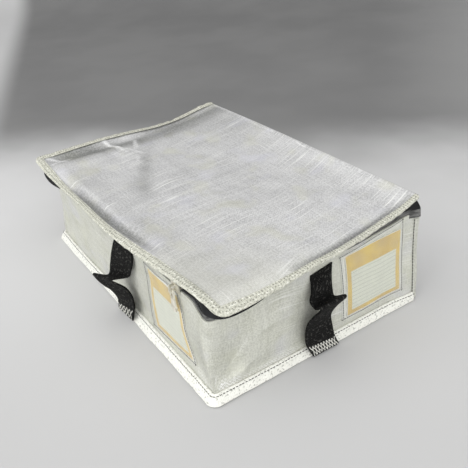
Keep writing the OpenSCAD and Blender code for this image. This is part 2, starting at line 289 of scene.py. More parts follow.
class PathRepeat:
    """Geometry Nodes tree that lays small rounded elements along paths, such as stitches and zip teeth."""

    def __init__(self) -> None:
        """Makes the tree with its inputs and its output."""
        self.tree = bpy.data.node_groups.new("lay_along_path", "GeometryNodeTree")
        face = self.tree.interface
        face.new_socket("Path", in_out="INPUT", socket_type="NodeSocketGeometry")
        for name in ("Pitch", "Length", "Width", "Height", "Jitter"):
            face.new_socket(name, in_out="INPUT", socket_type="NodeSocketFloat")
        face.new_socket("Material", in_out="INPUT", socket_type="NodeSocketMaterial")
        face.new_socket("Mesh", in_out="OUTPUT", socket_type="NodeSocketGeometry")
        self._wire()

    def _wire(self) -> None:
        """Builds the nodes of the tree."""
        tree = self.tree
        given = add_node(tree, "NodeGroupInput").outputs
        curve = add_node(tree, "GeometryNodeMeshToCurve", {"Mesh": given["Path"]})
        points = add_node(tree, "GeometryNodeResampleCurve",
                          {"Curve": curve.outputs[0], "Length": given["Pitch"]}, mode="LENGTH")
        tangent = add_node(tree, "GeometryNodeInputTangent")
        out = add_node(tree, "GeometryNodeInputNamedAttribute", {"Name": OUT_NAME},
                       data_type="FLOAT_VECTOR")
        aim = add_node(tree, "FunctionNodeAlignRotationToVector", {"Vector": tangent.outputs[0]}, axis="X")
        lean = add_node(tree, "FunctionNodeAlignRotationToVector",
                        {"Rotation": aim.outputs[0], "Vector": out.outputs[0]}, axis="Z", pivot_axis="X")
        less = add_node(tree, "ShaderNodeMath", {0: given["Jitter"], 1: -1.0}, operation="MULTIPLY")
        chance = add_node(tree, "FunctionNodeRandomValue", {"Seed": 7}, data_type="FLOAT")
        low = next(s for s in chance.inputs if s.name == "Min" and s.type == "VALUE")
        high = next(s for s in chance.inputs if s.name == "Max" and s.type == "VALUE")
        tree.links.new(less.outputs[0], low)
        tree.links.new(given["Jitter"], high)
        value = next(s for s in chance.outputs if s.type == "VALUE" and s.enabled)
        spin = add_node(tree, "ShaderNodeCombineXYZ", {"Z": value})
        turn = add_node(tree, "FunctionNodeEulerToRotation", {0: spin.outputs[0]})
        final = add_node(tree, "FunctionNodeRotateRotation",
                         {"Rotation": lean.outputs[0], "Rotate By": turn.outputs[0]},
                         rotation_space="LOCAL")
        ball = add_node(tree, "GeometryNodeMeshIcoSphere", {"Radius": 0.5, "Subdivisions": 2})
        round_ball = add_node(tree, "GeometryNodeSetShadeSmooth", {0: ball.outputs["Mesh"]})
        size = add_node(tree, "ShaderNodeCombineXYZ",
                        {"X": given["Length"], "Y": given["Width"], "Z": given["Height"]})
        laid = add_node(tree, "GeometryNodeInstanceOnPoints", {
            "Points": points.outputs[0], "Instance": round_ball.outputs[0],
            "Rotation": final.outputs[0], "Scale": size.outputs[0]})
        real = add_node(tree, "GeometryNodeRealizeInstances", {0: laid.outputs[0]})
        painted = add_node(tree, "GeometryNodeSetMaterial",
                           {"Geometry": real.outputs[0], "Material": given["Material"]})
        add_node(tree, "NodeGroupOutput", {"Mesh": painted.outputs[0]})

    def lay(self, name: str, paths: Rows, item: Repeat, material: bpy.types.Material) -> bpy.types.Object:
        """Lays the elements along paths and keeps the result as a plain mesh.

        Args:
            name: Object name.
            paths: For each path, its points in mm and the direction out of the cloth at each.
            item: Sizes of the element.
            material: Material of the elements.

        Returns:
            The new object.
        """
        verts, outs, edges = [], [], []
        for points, out in paths:
            start = sum(len(v) for v in verts)
            verts.append(np.asarray(points) * MM)
            outs.append(np.broadcast_to(out, np.shape(points)))
            edges += [(start + i, start + i + 1) for i in range(len(points) - 1)]
        mesh = bpy.data.meshes.new(name + "_path")
        mesh.from_pydata(np.concatenate(verts).tolist(), edges, [])
        layer = mesh.attributes.new(OUT_NAME, "FLOAT_VECTOR", "POINT")
        layer.data.foreach_set("vector", np.concatenate(outs).astype(np.float32).ravel())
        obj = bpy.data.objects.new(name, mesh)
        bpy.context.scene.collection.objects.link(obj)
        lay = obj.modifiers.new("lay", "NODES")
        lay.node_group = self.tree
        given = {"Pitch": item.pitch * MM, "Length": item.length * MM, "Width": item.width * MM,
                 "Height": item.height * MM, "Jitter": item.jitter, "Material": material}
        for socket in self.tree.interface.items_tree:
            if socket.in_out == "INPUT" and socket.name in given:
                lay[socket.identifier] = given[socket.name]
        bpy.context.view_layer.update()
        graph = bpy.context.evaluated_depsgraph_get()
        made = bpy.data.meshes.new_from_object(obj.evaluated_get(graph), depsgraph=graph)
        obj.modifiers.clear()
        obj.data = made
        bpy.data.meshes.remove(mesh)
        return obj


class Shader:
    """One material's node tree, filled node by node."""

    def __init__(self, name: str) -> None:
        """Makes an empty material.

        Args:
            name: Material name.
        """
        self.material = bpy.data.materials.new(name)
        self.material.use_nodes = True
        self.tree = self.material.node_tree
        self.tree.nodes.clear()

    def add(self, kind: str, *given, out: int | str = 0, **settings) -> bpy.types.NodeSocket:
        """Adds a node to the material.

        Args:
            kind: Node type without its first word, ShaderNode.
            given: Value or output socket for each input in turn, or one dictionary by name or number.
            out: Output to return.
            settings: Node properties.

        Returns:
            The chosen output socket.
        """
        inputs = given[0] if given and isinstance(given[0], dict) else dict(enumerate(given))
        return add_node(self.tree, "ShaderNode" + kind, inputs, **settings).outputs[out]

    def cloth_place(self) -> tuple[bpy.types.NodeSocket, bpy.types.NodeSocket]:
        """Place on the cloth in mm.

        Returns:
            Sockets of the first and the second place.
        """
        place = self.add("UVMap", uv_map=UV_NAME)
        split = self.add("SeparateXYZ", {0: place})
        return split, split.node.outputs[1]

    def noise(self, u, v, size_u: float, size_v: float, detail: float = 2.0) -> bpy.types.NodeSocket:
        """Noise stretched by its own size along each way of the cloth.

        Args:
            u: First place in mm.
            v: Second place in mm.
            size_u: Size of a blotch along the first way, in mm.
            size_v: Size of a blotch along the second way, in mm.
            detail: Finer layers of noise.

        Returns:
            Noise of 0 to 1, mostly near 0.5.
        """
        first = self.add("Math", u, size_u, operation="DIVIDE")
        second = self.add("Math", v, size_v, operation="DIVIDE")
        place = self.add("CombineXYZ", first, second)
        return self.add("TexNoise", {"Vector": place, "Scale": 1.0, "Detail": detail})

    def yarn(self, place, pitch: float) -> bpy.types.NodeSocket:
        """A fixed random value for each yarn across the cloth."""
        number = self.add("Math", self.add("Math", place, pitch, operation="DIVIDE"), operation="FLOOR")
        return self.add("TexWhiteNoise", {"W": number}, noise_dimensions="1D")

    def wave(self, place, pitch: float) -> bpy.types.NodeSocket:
        """Sine over the cloth that changes sign at each yarn."""
        angle = self.add("Math", place, math.pi / pitch, operation="MULTIPLY")
        return self.add("Math", angle, operation="SINE")

    def ribs(self, place, pitch: float) -> bpy.types.NodeSocket:
        """Rounded ribs side by side over the cloth."""
        return self.add("Math", self.wave(place, pitch), operation="ABSOLUTE")

    def blotches(self, size: float, detail: float = 2.0) -> bpy.types.NodeSocket:
        """Noise through a solid piece."""
        place = self.add("TexCoord", out="Object")
        return self.add("TexNoise", {"Vector": place, "Scale": 1 / (size * MM), "Detail": detail})

    def inset(self, place, size: float) -> bpy.types.NodeSocket:
        """Distance in from the nearer of two opposite edges."""
        rest = self.add("Math", size, place, operation="SUBTRACT")
        return self.add("Math", place, rest, operation="MINIMUM")

    def close(self, **inputs) -> bpy.types.Material:
        """Ends the tree in a Principled surface.

        Args:
            inputs: Principled inputs by name, with _ for each space.

        Returns:
            The finished material.
        """
        surface = self.add("BsdfPrincipled", {k.replace("_", " "): v for k, v in inputs.items()})
        add_node(self.tree, "ShaderNodeOutputMaterial", {"Surface": surface})
        return self.material


@dataclass(frozen=True)
class GlassCloth:
    """Plain-woven glass yarn under a thin clear coating.

    The eye sees a pale silver cloth with a fine grid, single yarns lighter or darker than the next, thin
    bright slubs along the yarns, faint yellow and blue blotches, a handled yellowish corner on the lid and
    a soft satin sheen.
    """

    name: str = "glass_cloth_plain_woven_and_coated"
    light: str = "#d3d3d3"
    dark: str = "#a4a4a4"
    warm: str = "#cbcbb8"
    cool: str = "#cbcbd6"
    # Real yarns are taken as 0.6 mm wide; they are drawn twice as coarse, so that the render shows them.
    yarn_mm: float = 1.2
    slub: float = 1.0
    sheen: float = 0.2
    crumple: float = 0.35
    # Colour that the painted shade of the folds mixes towards.
    painted_shade: str = "#5f605c"
    stain: float = 0.0

    def build(self) -> bpy.types.Material:
        """Makes the material.

        Returns:
            The material.
        """
        sh = Shader(self.name)
        u, v = sh.cloth_place()
        drift = sh.add("Math", sh.noise(u, v, 83.33, 83.33, 1.0), 9.0, operation="MULTIPLY")
        u2, v2 = (sh.add("Math", way, drift, operation="ADD") for way in (u, v))
        over = sh.add("Math", sh.wave(u2, self.yarn_mm), sh.wave(v2, self.yarn_mm), operation="MULTIPLY")
        grid = sh.add("Math", over, operation="ABSOLUTE")
        yarns = sh.add("Math", sh.yarn(u2, self.yarn_mm), sh.yarn(v2, self.yarn_mm), operation="ADD")
        crossed = sh.add("MapRange", over, -0.4, 0.4, **SMOOTH)
        speckle = sh.add("MapRange", sh.noise(u, v, 1.538, 1.538, 2.0), 0.30, 0.70, **SMOOTH)
        tone = sh.add("Math", sh.add("Math", yarns, 0.24, operation="MULTIPLY"),
                      sh.add("Math", crossed, 0.12, operation="MULTIPLY"), operation="ADD")
        specks = sh.add("MapRange", speckle, 0.0, 1.0, 0.06, 0.66, **SMOOTH)
        tone = sh.add("Math", tone, specks, operation="ADD")
        base = sh.add("Mix", {0: tone, 6: srgb(self.dark), 7: srgb(self.light)}, **COLOUR_MIX)
        warm = sh.add("MapRange", sh.noise(u, v, 33.33, 28.57, 2.0), 0.52, 0.70, 0.0, 0.45, **SMOOTH)
        to_corner = sh.add("Math", u, v, operation="SUBTRACT")
        corner = sh.add("MapRange", to_corner, 110.0, 210.0, 0.0, self.stain, **SMOOTH)
        yellow = sh.add("Math", warm, corner, operation="MAXIMUM")
        cool = sh.add("MapRange", sh.noise(v, u, 38.46, 33.33, 2.0), 0.54, 0.72, 0.0, 0.45, **SMOOTH)
        slant = sh.add("Math", u2, sh.add("Math", v, 0.16, operation="MULTIPLY"), operation="ADD")
        bend = sh.add("Math", sh.noise(u, v, 111.1, 111.1, 0.0), 17.0, operation="MULTIPLY")
        off = sh.add("Math", u, 90.0, operation="ADD")
        patch = sh.add("MapRange", sh.noise(off, v, 55.56, 45.45, 1.0), 0.42, 0.62,
                       0.36 * self.slub, self.slub, **SMOOTH)
        across = sh.add("Math", slant, bend, operation="ADD")
        slubs = sh.add("MapRange", sh.noise(across, v2, 0.8, 58.82, 0.0), 0.635, 0.74, **SMOOTH)
        near = sh.add("MapRange", to_corner, 130.0, 195.0, 1.0, 0.25, **SMOOTH)
        patch = sh.add("Math", patch, near, operation="MULTIPLY")
        slubs = sh.add("Math", slubs, patch, operation="MULTIPLY")
        cross = sh.add("MapRange", sh.noise(u2, v2, 33.33, 1.0, 0.0), 0.75, 0.81,
                       0.0, 0.5 * self.slub, **SMOOTH)
        line = sh.add("Math", slubs, cross, operation="MAXIMUM")
        bright = sh.add("Math", line, 0.8, operation="MULTIPLY")
        cloud = sh.add("MapRange", sh.noise(u, v, 20.0, 20.0, 4.0), 0.30, 0.62, **SMOOTH)
        cloud = sh.add("Math", cloud, 0.18, operation="MULTIPLY")
        # Painted light from the fold attribute: painted shade darkens the folds towards the shade colour,
        # and painted glints lighten the weave's dots to white where the attribute is negative.
        held = sh.add("Attribute", out="Fac", attribute_name=SHADE_NAME)
        uneven = sh.add("MapRange", speckle, 0.0, 1.0, 1.0, 0.75, **SMOOTH)
        painted_fold_shade = sh.add("Math", sh.add("Math", held, 0.0, operation="MAXIMUM"), uneven, operation="MULTIPLY")
        dots = sh.add("MapRange", sh.add("Math", speckle, crossed, operation="ADD"), 0.7, 1.4, **SMOOTH)
        glint = sh.add("Math", sh.add("Math", held, -1.0, operation="MULTIPLY"), 0.0, operation="MAXIMUM")
        glint = sh.add("Math", glint, dots, operation="MULTIPLY")
        for share, colour in ((yellow, self.warm), (cool, self.cool), (bright, "#f6f6f3"),
                              (cloud, "#e8e8e6"), (painted_fold_shade, self.painted_shade), (glint, "#ffffff")):
            base = sh.add("Mix", {0: share, 6: base, 7: srgb(colour)}, **COLOUR_MIX)
        dents = sh.noise(u, v, 18.18, 25.0, 3.0)
        crumple = sh.add("Bump", {"Height": dents, "Distance": 2.2 * MM, "Strength": self.crumple})
        height = sh.add("Math", grid, sh.add("Math", line, 1.4, operation="MULTIPLY"), operation="ADD")
        weave = sh.add("Bump", {"Height": height, "Distance": 0.22 * MM, "Strength": 0.6,
                                "Normal": crumple})
        rough = sh.add("MapRange", sh.noise(u, v, 12.5, 12.5, 2.0), 0.3, 0.7, 0.36, 0.50, **SMOOTH)
        return sh.close(Base_Color=base, Roughness=rough, Normal=weave, Metallic=self.sheen,
                        Specular_IOR_Level=0.5)


@dataclass(frozen=True)
class BindingTape:
    """Woven binding tape, folded over raw edges and sewn down.

    The eye sees pale ribs across the tape, light and dark flecks of glass yarn, and soft puckers at the
    seam.
    """

    name: str
    light: str
    groove: str
    fleck: float
    # Real ribs are taken as 0.6 mm wide; they are drawn twice as coarse, so that the render shows them.
    rib_mm: float = 1.3

    def build(self) -> bpy.types.Material:
        """Makes the material.

        Returns:
            The material.
        """
        sh = Shader(self.name)
        u, v = sh.cloth_place()
        both = sh.add("Math", sh.ribs(u, self.rib_mm), sh.ribs(v, 0.6 * self.rib_mm), operation="ADD")
        tone = sh.add("Math", both, 0.5, operation="MULTIPLY")
        wear = sh.noise(u, v, 16.67, 8.333, 3.0)
        clean = sh.add("MapRange", wear, 0.2, 0.6, 0.7, 1.2, **SMOOTH)
        pale = sh.add("Math", tone, clean, operation="MULTIPLY")
        # Ribs lighter than the groove colour, which is painted shade between the ribs.
        base = sh.add("Mix", {0: pale, 6: srgb(self.groove), 7: srgb(self.light)}, **COLOUR_MIX)
        fleck = sh.noise(u, v, 2.0, 1.429, 2.0)
        for start, end, colour in ((0.55, 0.67, "#f6f6ee"), (0.45, 0.33, "#74746a")):
            share = sh.add("MapRange", fleck, start, end, 0.0, self.fleck, **SMOOTH)
            base = sh.add("Mix", {0: share, 6: base, 7: srgb(colour)}, **COLOUR_MIX)
        drawn = sh.noise(u, v, 4.545, 20.0, 2.0)
        pucker = sh.add("Bump", {"Height": drawn, "Distance": 1.2 * MM, "Strength": 0.5})
        height = sh.add("Math", tone, fleck, operation="ADD")
        weave = sh.add("Bump", {"Height": height, "Distance": 0.3 * MM, "Strength": 0.7, "Normal": pucker})
        return sh.close(Base_Color=base, Roughness=0.62, Normal=weave, Specular_IOR_Level=0.35)


@dataclass(frozen=True)
class Webbing:
    """Black polypropylene webbing, woven in slanted ribs.

    The eye sees near-black chevron ribs with dull painted glints on their crests and painted shade in their
    grooves, fine pale specks, and faint pale blotches, partly painted glints and partly a little dust.
    """

    name: str = "webbing_polypropylene_twill"
    crest: str = "#262625"
    groove: str = "#020202"
    chevron_mm: float = 6.25
    yarn_mm: float = 0.8
    # Real ribs are taken as 1.2 mm wide; they are drawn this coarse, so that the render shows them.
    rib_mm: float = 1.9

    def build(self) -> bpy.types.Material:
        """Makes the material.

        Returns:
            The material.
        """
        sh = Shader(self.name)
        u, v = sh.cloth_place()
        fold = sh.add("Math", u, self.chevron_mm, operation="PINGPONG")
        rib = sh.ribs(sh.add("Math", fold, v, operation="ADD"), self.rib_mm)
        yarn = sh.add("Math", sh.ribs(u, self.yarn_mm), 0.35, operation="MULTIPLY")
        height = sh.add("Math", rib, yarn, operation="ADD")
        raised = sh.add("MapRange", height, 0.7, 1.35, **SMOOTH)
        # Crests lighter than grooves: painted glints on the crests and painted shade in the grooves.
        base = sh.add("Mix", {0: raised, 6: srgb(self.groove), 7: srgb(self.crest)}, **COLOUR_MIX)
        # Pale blotches that stand for a little dust and for painted glints.
        dust_and_glint = sh.add("MapRange", sh.noise(u, v, 4.0, 4.0, 4.0), 0.5, 0.75, 0.0, 0.10, **SMOOTH)
        speck = sh.add("MapRange", sh.noise(u, v, 2.0, 2.381, 1.0), 0.55, 0.68, 0.0, 0.55, **SMOOTH)
        for share, colour in ((dust_and_glint, "#4b4a48"), (speck, "#5c5b58")):
            base = sh.add("Mix", {0: share, 6: base, 7: srgb(colour)}, **COLOUR_MIX)
        return sh.close(Base_Color=base, Roughness=0.7,
                        Normal=sh.add("Bump", {"Height": height, "Distance": 0.6 * MM, "Strength": 0.9}),
                        Specular_IOR_Level=0.1)


@dataclass(frozen=True)
class ZipTape:
    """Woven polyester zip tape with a fine herringbone.

    The eye sees a dull dark band with close slanted lines.
    """

    name: str = "zip_tape_woven_polyester"
    crest: str = "#232326"
    groove: str = "#0e0e10"
    herringbone_mm: float = 2.4
    # Real ribs are taken as 0.4 mm wide; they are drawn twice as coarse, so that the render shows them.
    rib_mm: float = 0.8

    def build(self) -> bpy.types.Material:
        """Makes the material.

        Returns:
            The material.
        """
        sh = Shader(self.name)
        u, v = sh.cloth_place()
        bent = sh.add("Math", v, self.herringbone_mm, operation="PINGPONG")
        slant = sh.add("Math", u, bent, operation="ADD")
        rib = sh.ribs(slant, self.rib_mm)
        worn = sh.add("MapRange", sh.noise(u, v, 7.143, 2.0, 3.0), 0.35, 0.70, 0.2, 1.3, **SMOOTH)
        pale = sh.add("Math", rib, worn, operation="MULTIPLY")
        # Ribs lighter than the groove colour, which is painted shade between the ribs.
        base = sh.add("Mix", {0: pale, 6: srgb(self.groove), 7: srgb(self.crest)}, **COLOUR_MIX)
        return sh.close(Base_Color=base, Roughness=0.74,
                        Normal=sh.add("Bump", {"Height": rib, "Distance": 0.2 * MM, "Strength": 0.7}),
                        Specular_IOR_Level=0.3)


@dataclass(frozen=True)
class Thread:
    """Twisted sewing thread.

    The eye sees a small dull lump with a slightly uneven tone.
    """

    name: str
    code: str
    rough: float = 0.7

    def build(self) -> bpy.types.Material:
        """Makes the material.

        Returns:
            The material.
        """
        sh = Shader(self.name)
        blotch = sh.blotches(2.381)
        shade = tuple(0.62 * c for c in srgb(self.code)[:3]) + (1.0,)
        pale = sh.add("MapRange", blotch, 0.35, 0.65, **SMOOTH)
        base = sh.add("Mix", {0: pale, 6: shade, 7: srgb(self.code)}, **COLOUR_MIX)
        return sh.close(Base_Color=base, Roughness=self.rough,
                        Normal=sh.add("Bump", {"Height": blotch, "Distance": 0.15 * MM, "Strength": 0.5}))


@dataclass(frozen=True)
class PlatedZinc:
    """Die-cast zinc with a pale nickel plate, tumbled before plating.

    The eye sees a warm silver with soft highlights, faint pits from the casting and duller worn edges.
    """

    name: str = "zinc_die_cast_nickel_plated"
    bright: str = "#efecdf"
    dull: str = "#c4c0ae"
    metallic: float = 0.55

    def build(self) -> bpy.types.Material:
        """Makes the material.

        Returns:
            The material.
        """
        sh = Shader(self.name)
        pits = sh.blotches(1.111, 3.0)
        cloud = sh.blotches(3.846)
        polished = sh.add("MapRange", cloud, 0.35, 0.65, **SMOOTH)
        base = sh.add("Mix", {0: polished, 6: srgb(self.dull), 7: srgb(self.bright)}, **COLOUR_MIX)
        return sh.close(Base_Color=base, Metallic=self.metallic,
                        Roughness=sh.add("MapRange", cloud, 0.3, 0.7, 0.28, 0.45, **SMOOTH),
                        Normal=sh.add("Bump", {"Height": pits, "Distance": 0.08 * MM, "Strength": 0.5}))


@dataclass(frozen=True)
class NylonCoil:
    """Moulded nylon zip coil.

    The eye sees small dark lumps with a slight plastic shine.
    """

    name: str = "nylon_coil_moulded"
    code: str = "#2b2b2e"

    def build(self) -> bpy.types.Material:
        """Makes the material.

        Returns:
            The material.
        """
        sh = Shader(self.name)
        cloud = sh.blotches(2.857)
        base = sh.add("Mix", {0: cloud, 6: srgb("#161618"), 7: srgb(self.code)}, **COLOUR_MIX)
        rough = sh.add("MapRange", cloud, 0.3, 0.7, 0.35, 0.5, **SMOOTH)
        return sh.close(Base_Color=base, Roughness=rough)


@dataclass(frozen=True)
class ClearFilm:
    """Clear soft vinyl film.

    The eye sees the card through it, with a slight milky veil, a painted white reflection that grows where
    the film is seen at a slant, a hazier strip along its seams, and long soft reflections where it ripples.
    """

    name: str = "vinyl_film_clear_calendered"
    size_mm: float = 62.0
    veil: float = 0.06
    glare: float = 0.13
    haze: float = 0.3

    def build(self) -> bpy.types.Material:
        """Makes the material.

        Returns:
            The material.
        """
        sh = Shader(self.name)
        u, v = sh.cloth_place()
        waves = sh.noise(u, v, 20.0, 9.091, 2.0)
        rippled = sh.add("Bump", {"Height": waves, "Distance": 1.6 * MM, "Strength": 0.6})
        veil = sh.add("MapRange", sh.noise(u, v, 11.11, 16.67, 3.0), 0.3, 0.7,
                      0.6 * self.veil, 1.5 * self.veil, **SMOOTH)
        # Painted reflection: a white veil that thickens where the film is seen at a slant.
        tilt = sh.add("LayerWeight", {"Blend": 0.5}, out="Facing")
        steep = sh.add("Math", tilt, 2.0, operation="POWER")
        slanted = sh.add("Math", steep, self.glare, operation="MULTIPLY")
        veil = sh.add("Math", veil, slanted, operation="ADD")
        edge = sh.add("Math", sh.inset(u, self.size_mm), sh.inset(v, self.size_mm), operation="MINIMUM")
        seam = sh.add("MapRange", edge, 1.5, 4.5, self.haze, 0.0, **SMOOTH)
        veil = sh.add("Math", veil, seam, operation="ADD")
        return sh.close(Base_Color=srgb("#f5f6f0"), Alpha=veil, Roughness=0.16, Normal=rippled,
                        Specular_IOR_Level=0.5)


@dataclass(frozen=True)
class RuledCard:
    """Uncoated card, printed in one tan ink with a header, a frame and blank rules.

    The eye sees a tan band at the top, a thin tan frame with a white margin, and a pale field with faint
    rules.
    """

    width_mm: float
    height_mm: float
    name: str = "card_printed_uncoated"
    ink: str = "#d2b75f"
    field: str = "#d6d8ca"
    margin_mm: float = 0.3
    frame_mm: float = 4.5
    header_mm: float = 16.0
    rule_mm: float = 3.6
    blur_mm: float = 0.2

    def build(self) -> bpy.types.Material:
        """Makes the material.

        Returns:
            The material.
        """
        sh = Shader(self.name)
        u, v = sh.cloth_place()
        edge = sh.add("Math", sh.inset(u, self.width_mm), v, operation="MINIMUM")
        top = sh.add("Math", self.height_mm, v, operation="SUBTRACT")
        outer = sh.add("Math", edge, top, operation="MINIMUM")
        framed, below, sheet = (
            sh.add("MapRange", away, line - self.blur_mm, line + self.blur_mm, **SMOOTH)
            for away, line in ((edge, self.frame_mm), (top, self.header_mm), (outer, self.margin_mm)))
        inside = sh.add("Math", framed, below, operation="MINIMUM")
        inked = sh.add("MapRange", sh.noise(u, v, 16.67, 16.67, 4.0), 0.3, 0.7, **SMOOTH)
        ink_tone = sh.add("Mix", {0: inked, 6: srgb("#bfa257"), 7: srgb(self.ink)}, **COLOUR_MIX)
        fibre = sh.noise(u, v, 0.7143, 0.7143, 3.0)
        field = sh.add("Mix", {0: fibre, 6: srgb("#c4c8ba"), 7: srgb(self.field)}, **COLOUR_MIX)
        rule = sh.ribs(sh.add("Math", v, 0.5, operation="ADD"), self.rule_mm)
        ruled = sh.add("MapRange", rule, 0.10, 0.34, 0.6, 0.0, **SMOOTH)
        field = sh.add("Mix", {0: ruled, 6: field, 7: srgb("#94978c")}, **COLOUR_MIX)
        base = sh.add("Mix", {0: inside, 6: ink_tone, 7: field}, **COLOUR_MIX)
        base = sh.add("Mix", {0: sheet, 6: srgb("#eeeee6"), 7: base}, **COLOUR_MIX)
        return sh.close(Base_Color=base, Roughness=0.6,
                        Normal=sh.add("Bump", {"Height": fibre, "Distance": 0.06 * MM, "Strength": 0.4}))


@dataclass(frozen=True)
class Backdrop:
    """Plain woven backdrop cloth laid as floor and wall.

    The eye sees a light grey that falls to a darker grey in the distance; broad soft folds are painted on
    the flat cloth as blotches of painted shade, and a paler fold at the far left as a painted highlight.
    """

    name: str = "backdrop_cloth_plain"
    near: str = "#bbbbbb"
    middle: str = "#d1d1d1"
    far: str = "#797979"
    # The pale colour serves painted highlights, and the fold colour the painted shade of soft folds.
    pale: str = "#c4c4c4"
    fold: str = "#a8a8a6"

    def build(self) -> bpy.types.Material:
        """Makes the material.

        Returns:
            The material.
        """
        sh = Shader(self.name)
        split = sh.add("SeparateXYZ", sh.add("TexCoord", out="Object"))
        depth = split.node.outputs[1]
        folds = sh.blotches(200.0, 3.0)
        sway = sh.add("Math", sh.add("Math", folds, 0.5, operation="SUBTRACT"), 0.16, operation="MULTIPLY")
        wavy = sh.add("Math", depth, sway, operation="ADD")
        left = sh.add("Math", sh.add("Math", split, -1.0, operation="MULTIPLY"),
                      sh.add("Math", depth, -0.4, operation="MULTIPLY"), operation="ADD")
        base = srgb(self.near)
        # The paler patch at the far left is a painted highlight of a fold, and the fold blotches are
        # painted shade of soft folds; the cloth itself is flat.
        for measure, start, end, most, colour in (
            (wavy, -0.3, 0.1, 1.0, self.middle),
            (wavy, 0.15, 0.36, 1.0, self.far),
            (left, 0.245, 0.31, 1.0, self.pale),
            (split, 0.12, 0.42, 0.35, self.pale),
            (folds, 0.35, 0.65, 0.12, self.fold),
        ):
            share = sh.add("MapRange", measure, start, end, 0.0, most, **SMOOTH)
            base = sh.add("Mix", {0: share, 6: base, 7: srgb(colour)}, **COLOUR_MIX)
        return sh.close(Base_Color=base, Roughness=0.9, Specular_IOR_Level=0.1)


class Finishes:
    """Every material of the bag, made once."""

    def __init__(self, card_size: tuple[float, float]) -> None:
        """Makes the materials.

        Args:
            card_size: Width and height of a card in mm.
        """
        self.cloth = GlassCloth(stain=0.38).build()
        self.wall = GlassCloth("glass_cloth_plain_woven_wall", "#cfd0c4", "#abac9f", "#cbccb9", "#c3c3cb",
                               slub=0.6, sheen=0.1, crumple=0.6).build()
        self.lining = GlassCloth("glass_cloth_lining_plain_woven", "#cfcfca", "#b0b0aa", "#cfcebf",
                                 slub=0.3).build()
        self.binding = BindingTape("binding_tape_woven_ribbed_lid", "#cfcfc2", "#acac9e", 0.7).build()
        self.foot = BindingTape("binding_tape_woven_ribbed_foot", "#f5f5ee", "#dcdcd2", 0.52).build()
        self.webbing = Webbing().build()
        self.tape = ZipTape().build()
        # The wall-side tape is drawn grey instead of black, as painted highlight on the black weave.
        self.wall_tape = ZipTape("zip_tape_woven_polyester_painted_highlight", "#868684", "#343434").build()
        self.coil = NylonCoil().build()
        self.metal = PlatedZinc().build()
        # The stops get a dark grey finish.
        self.dark_metal = PlatedZinc("zinc_die_cast_dark_grey", "#4a4a4a", "#2a2a2a").build()
        self.film = ClearFilm().build()
        self.card = RuledCard(*card_size).build()
        # Grey thread, drawn darker than the pale tape it holds: partly the thread's own tone, partly
        # painted shade of the stitch holes.
        self.grey_thread = Thread("sewing_thread_twisted_grey", "#96968a").build()
        self.dark_thread = Thread("sewing_thread_twisted_dark", "#3c3c38").build()
        self.white_thread = Thread("sewing_thread_twisted_white", "#e8e8e0").build()


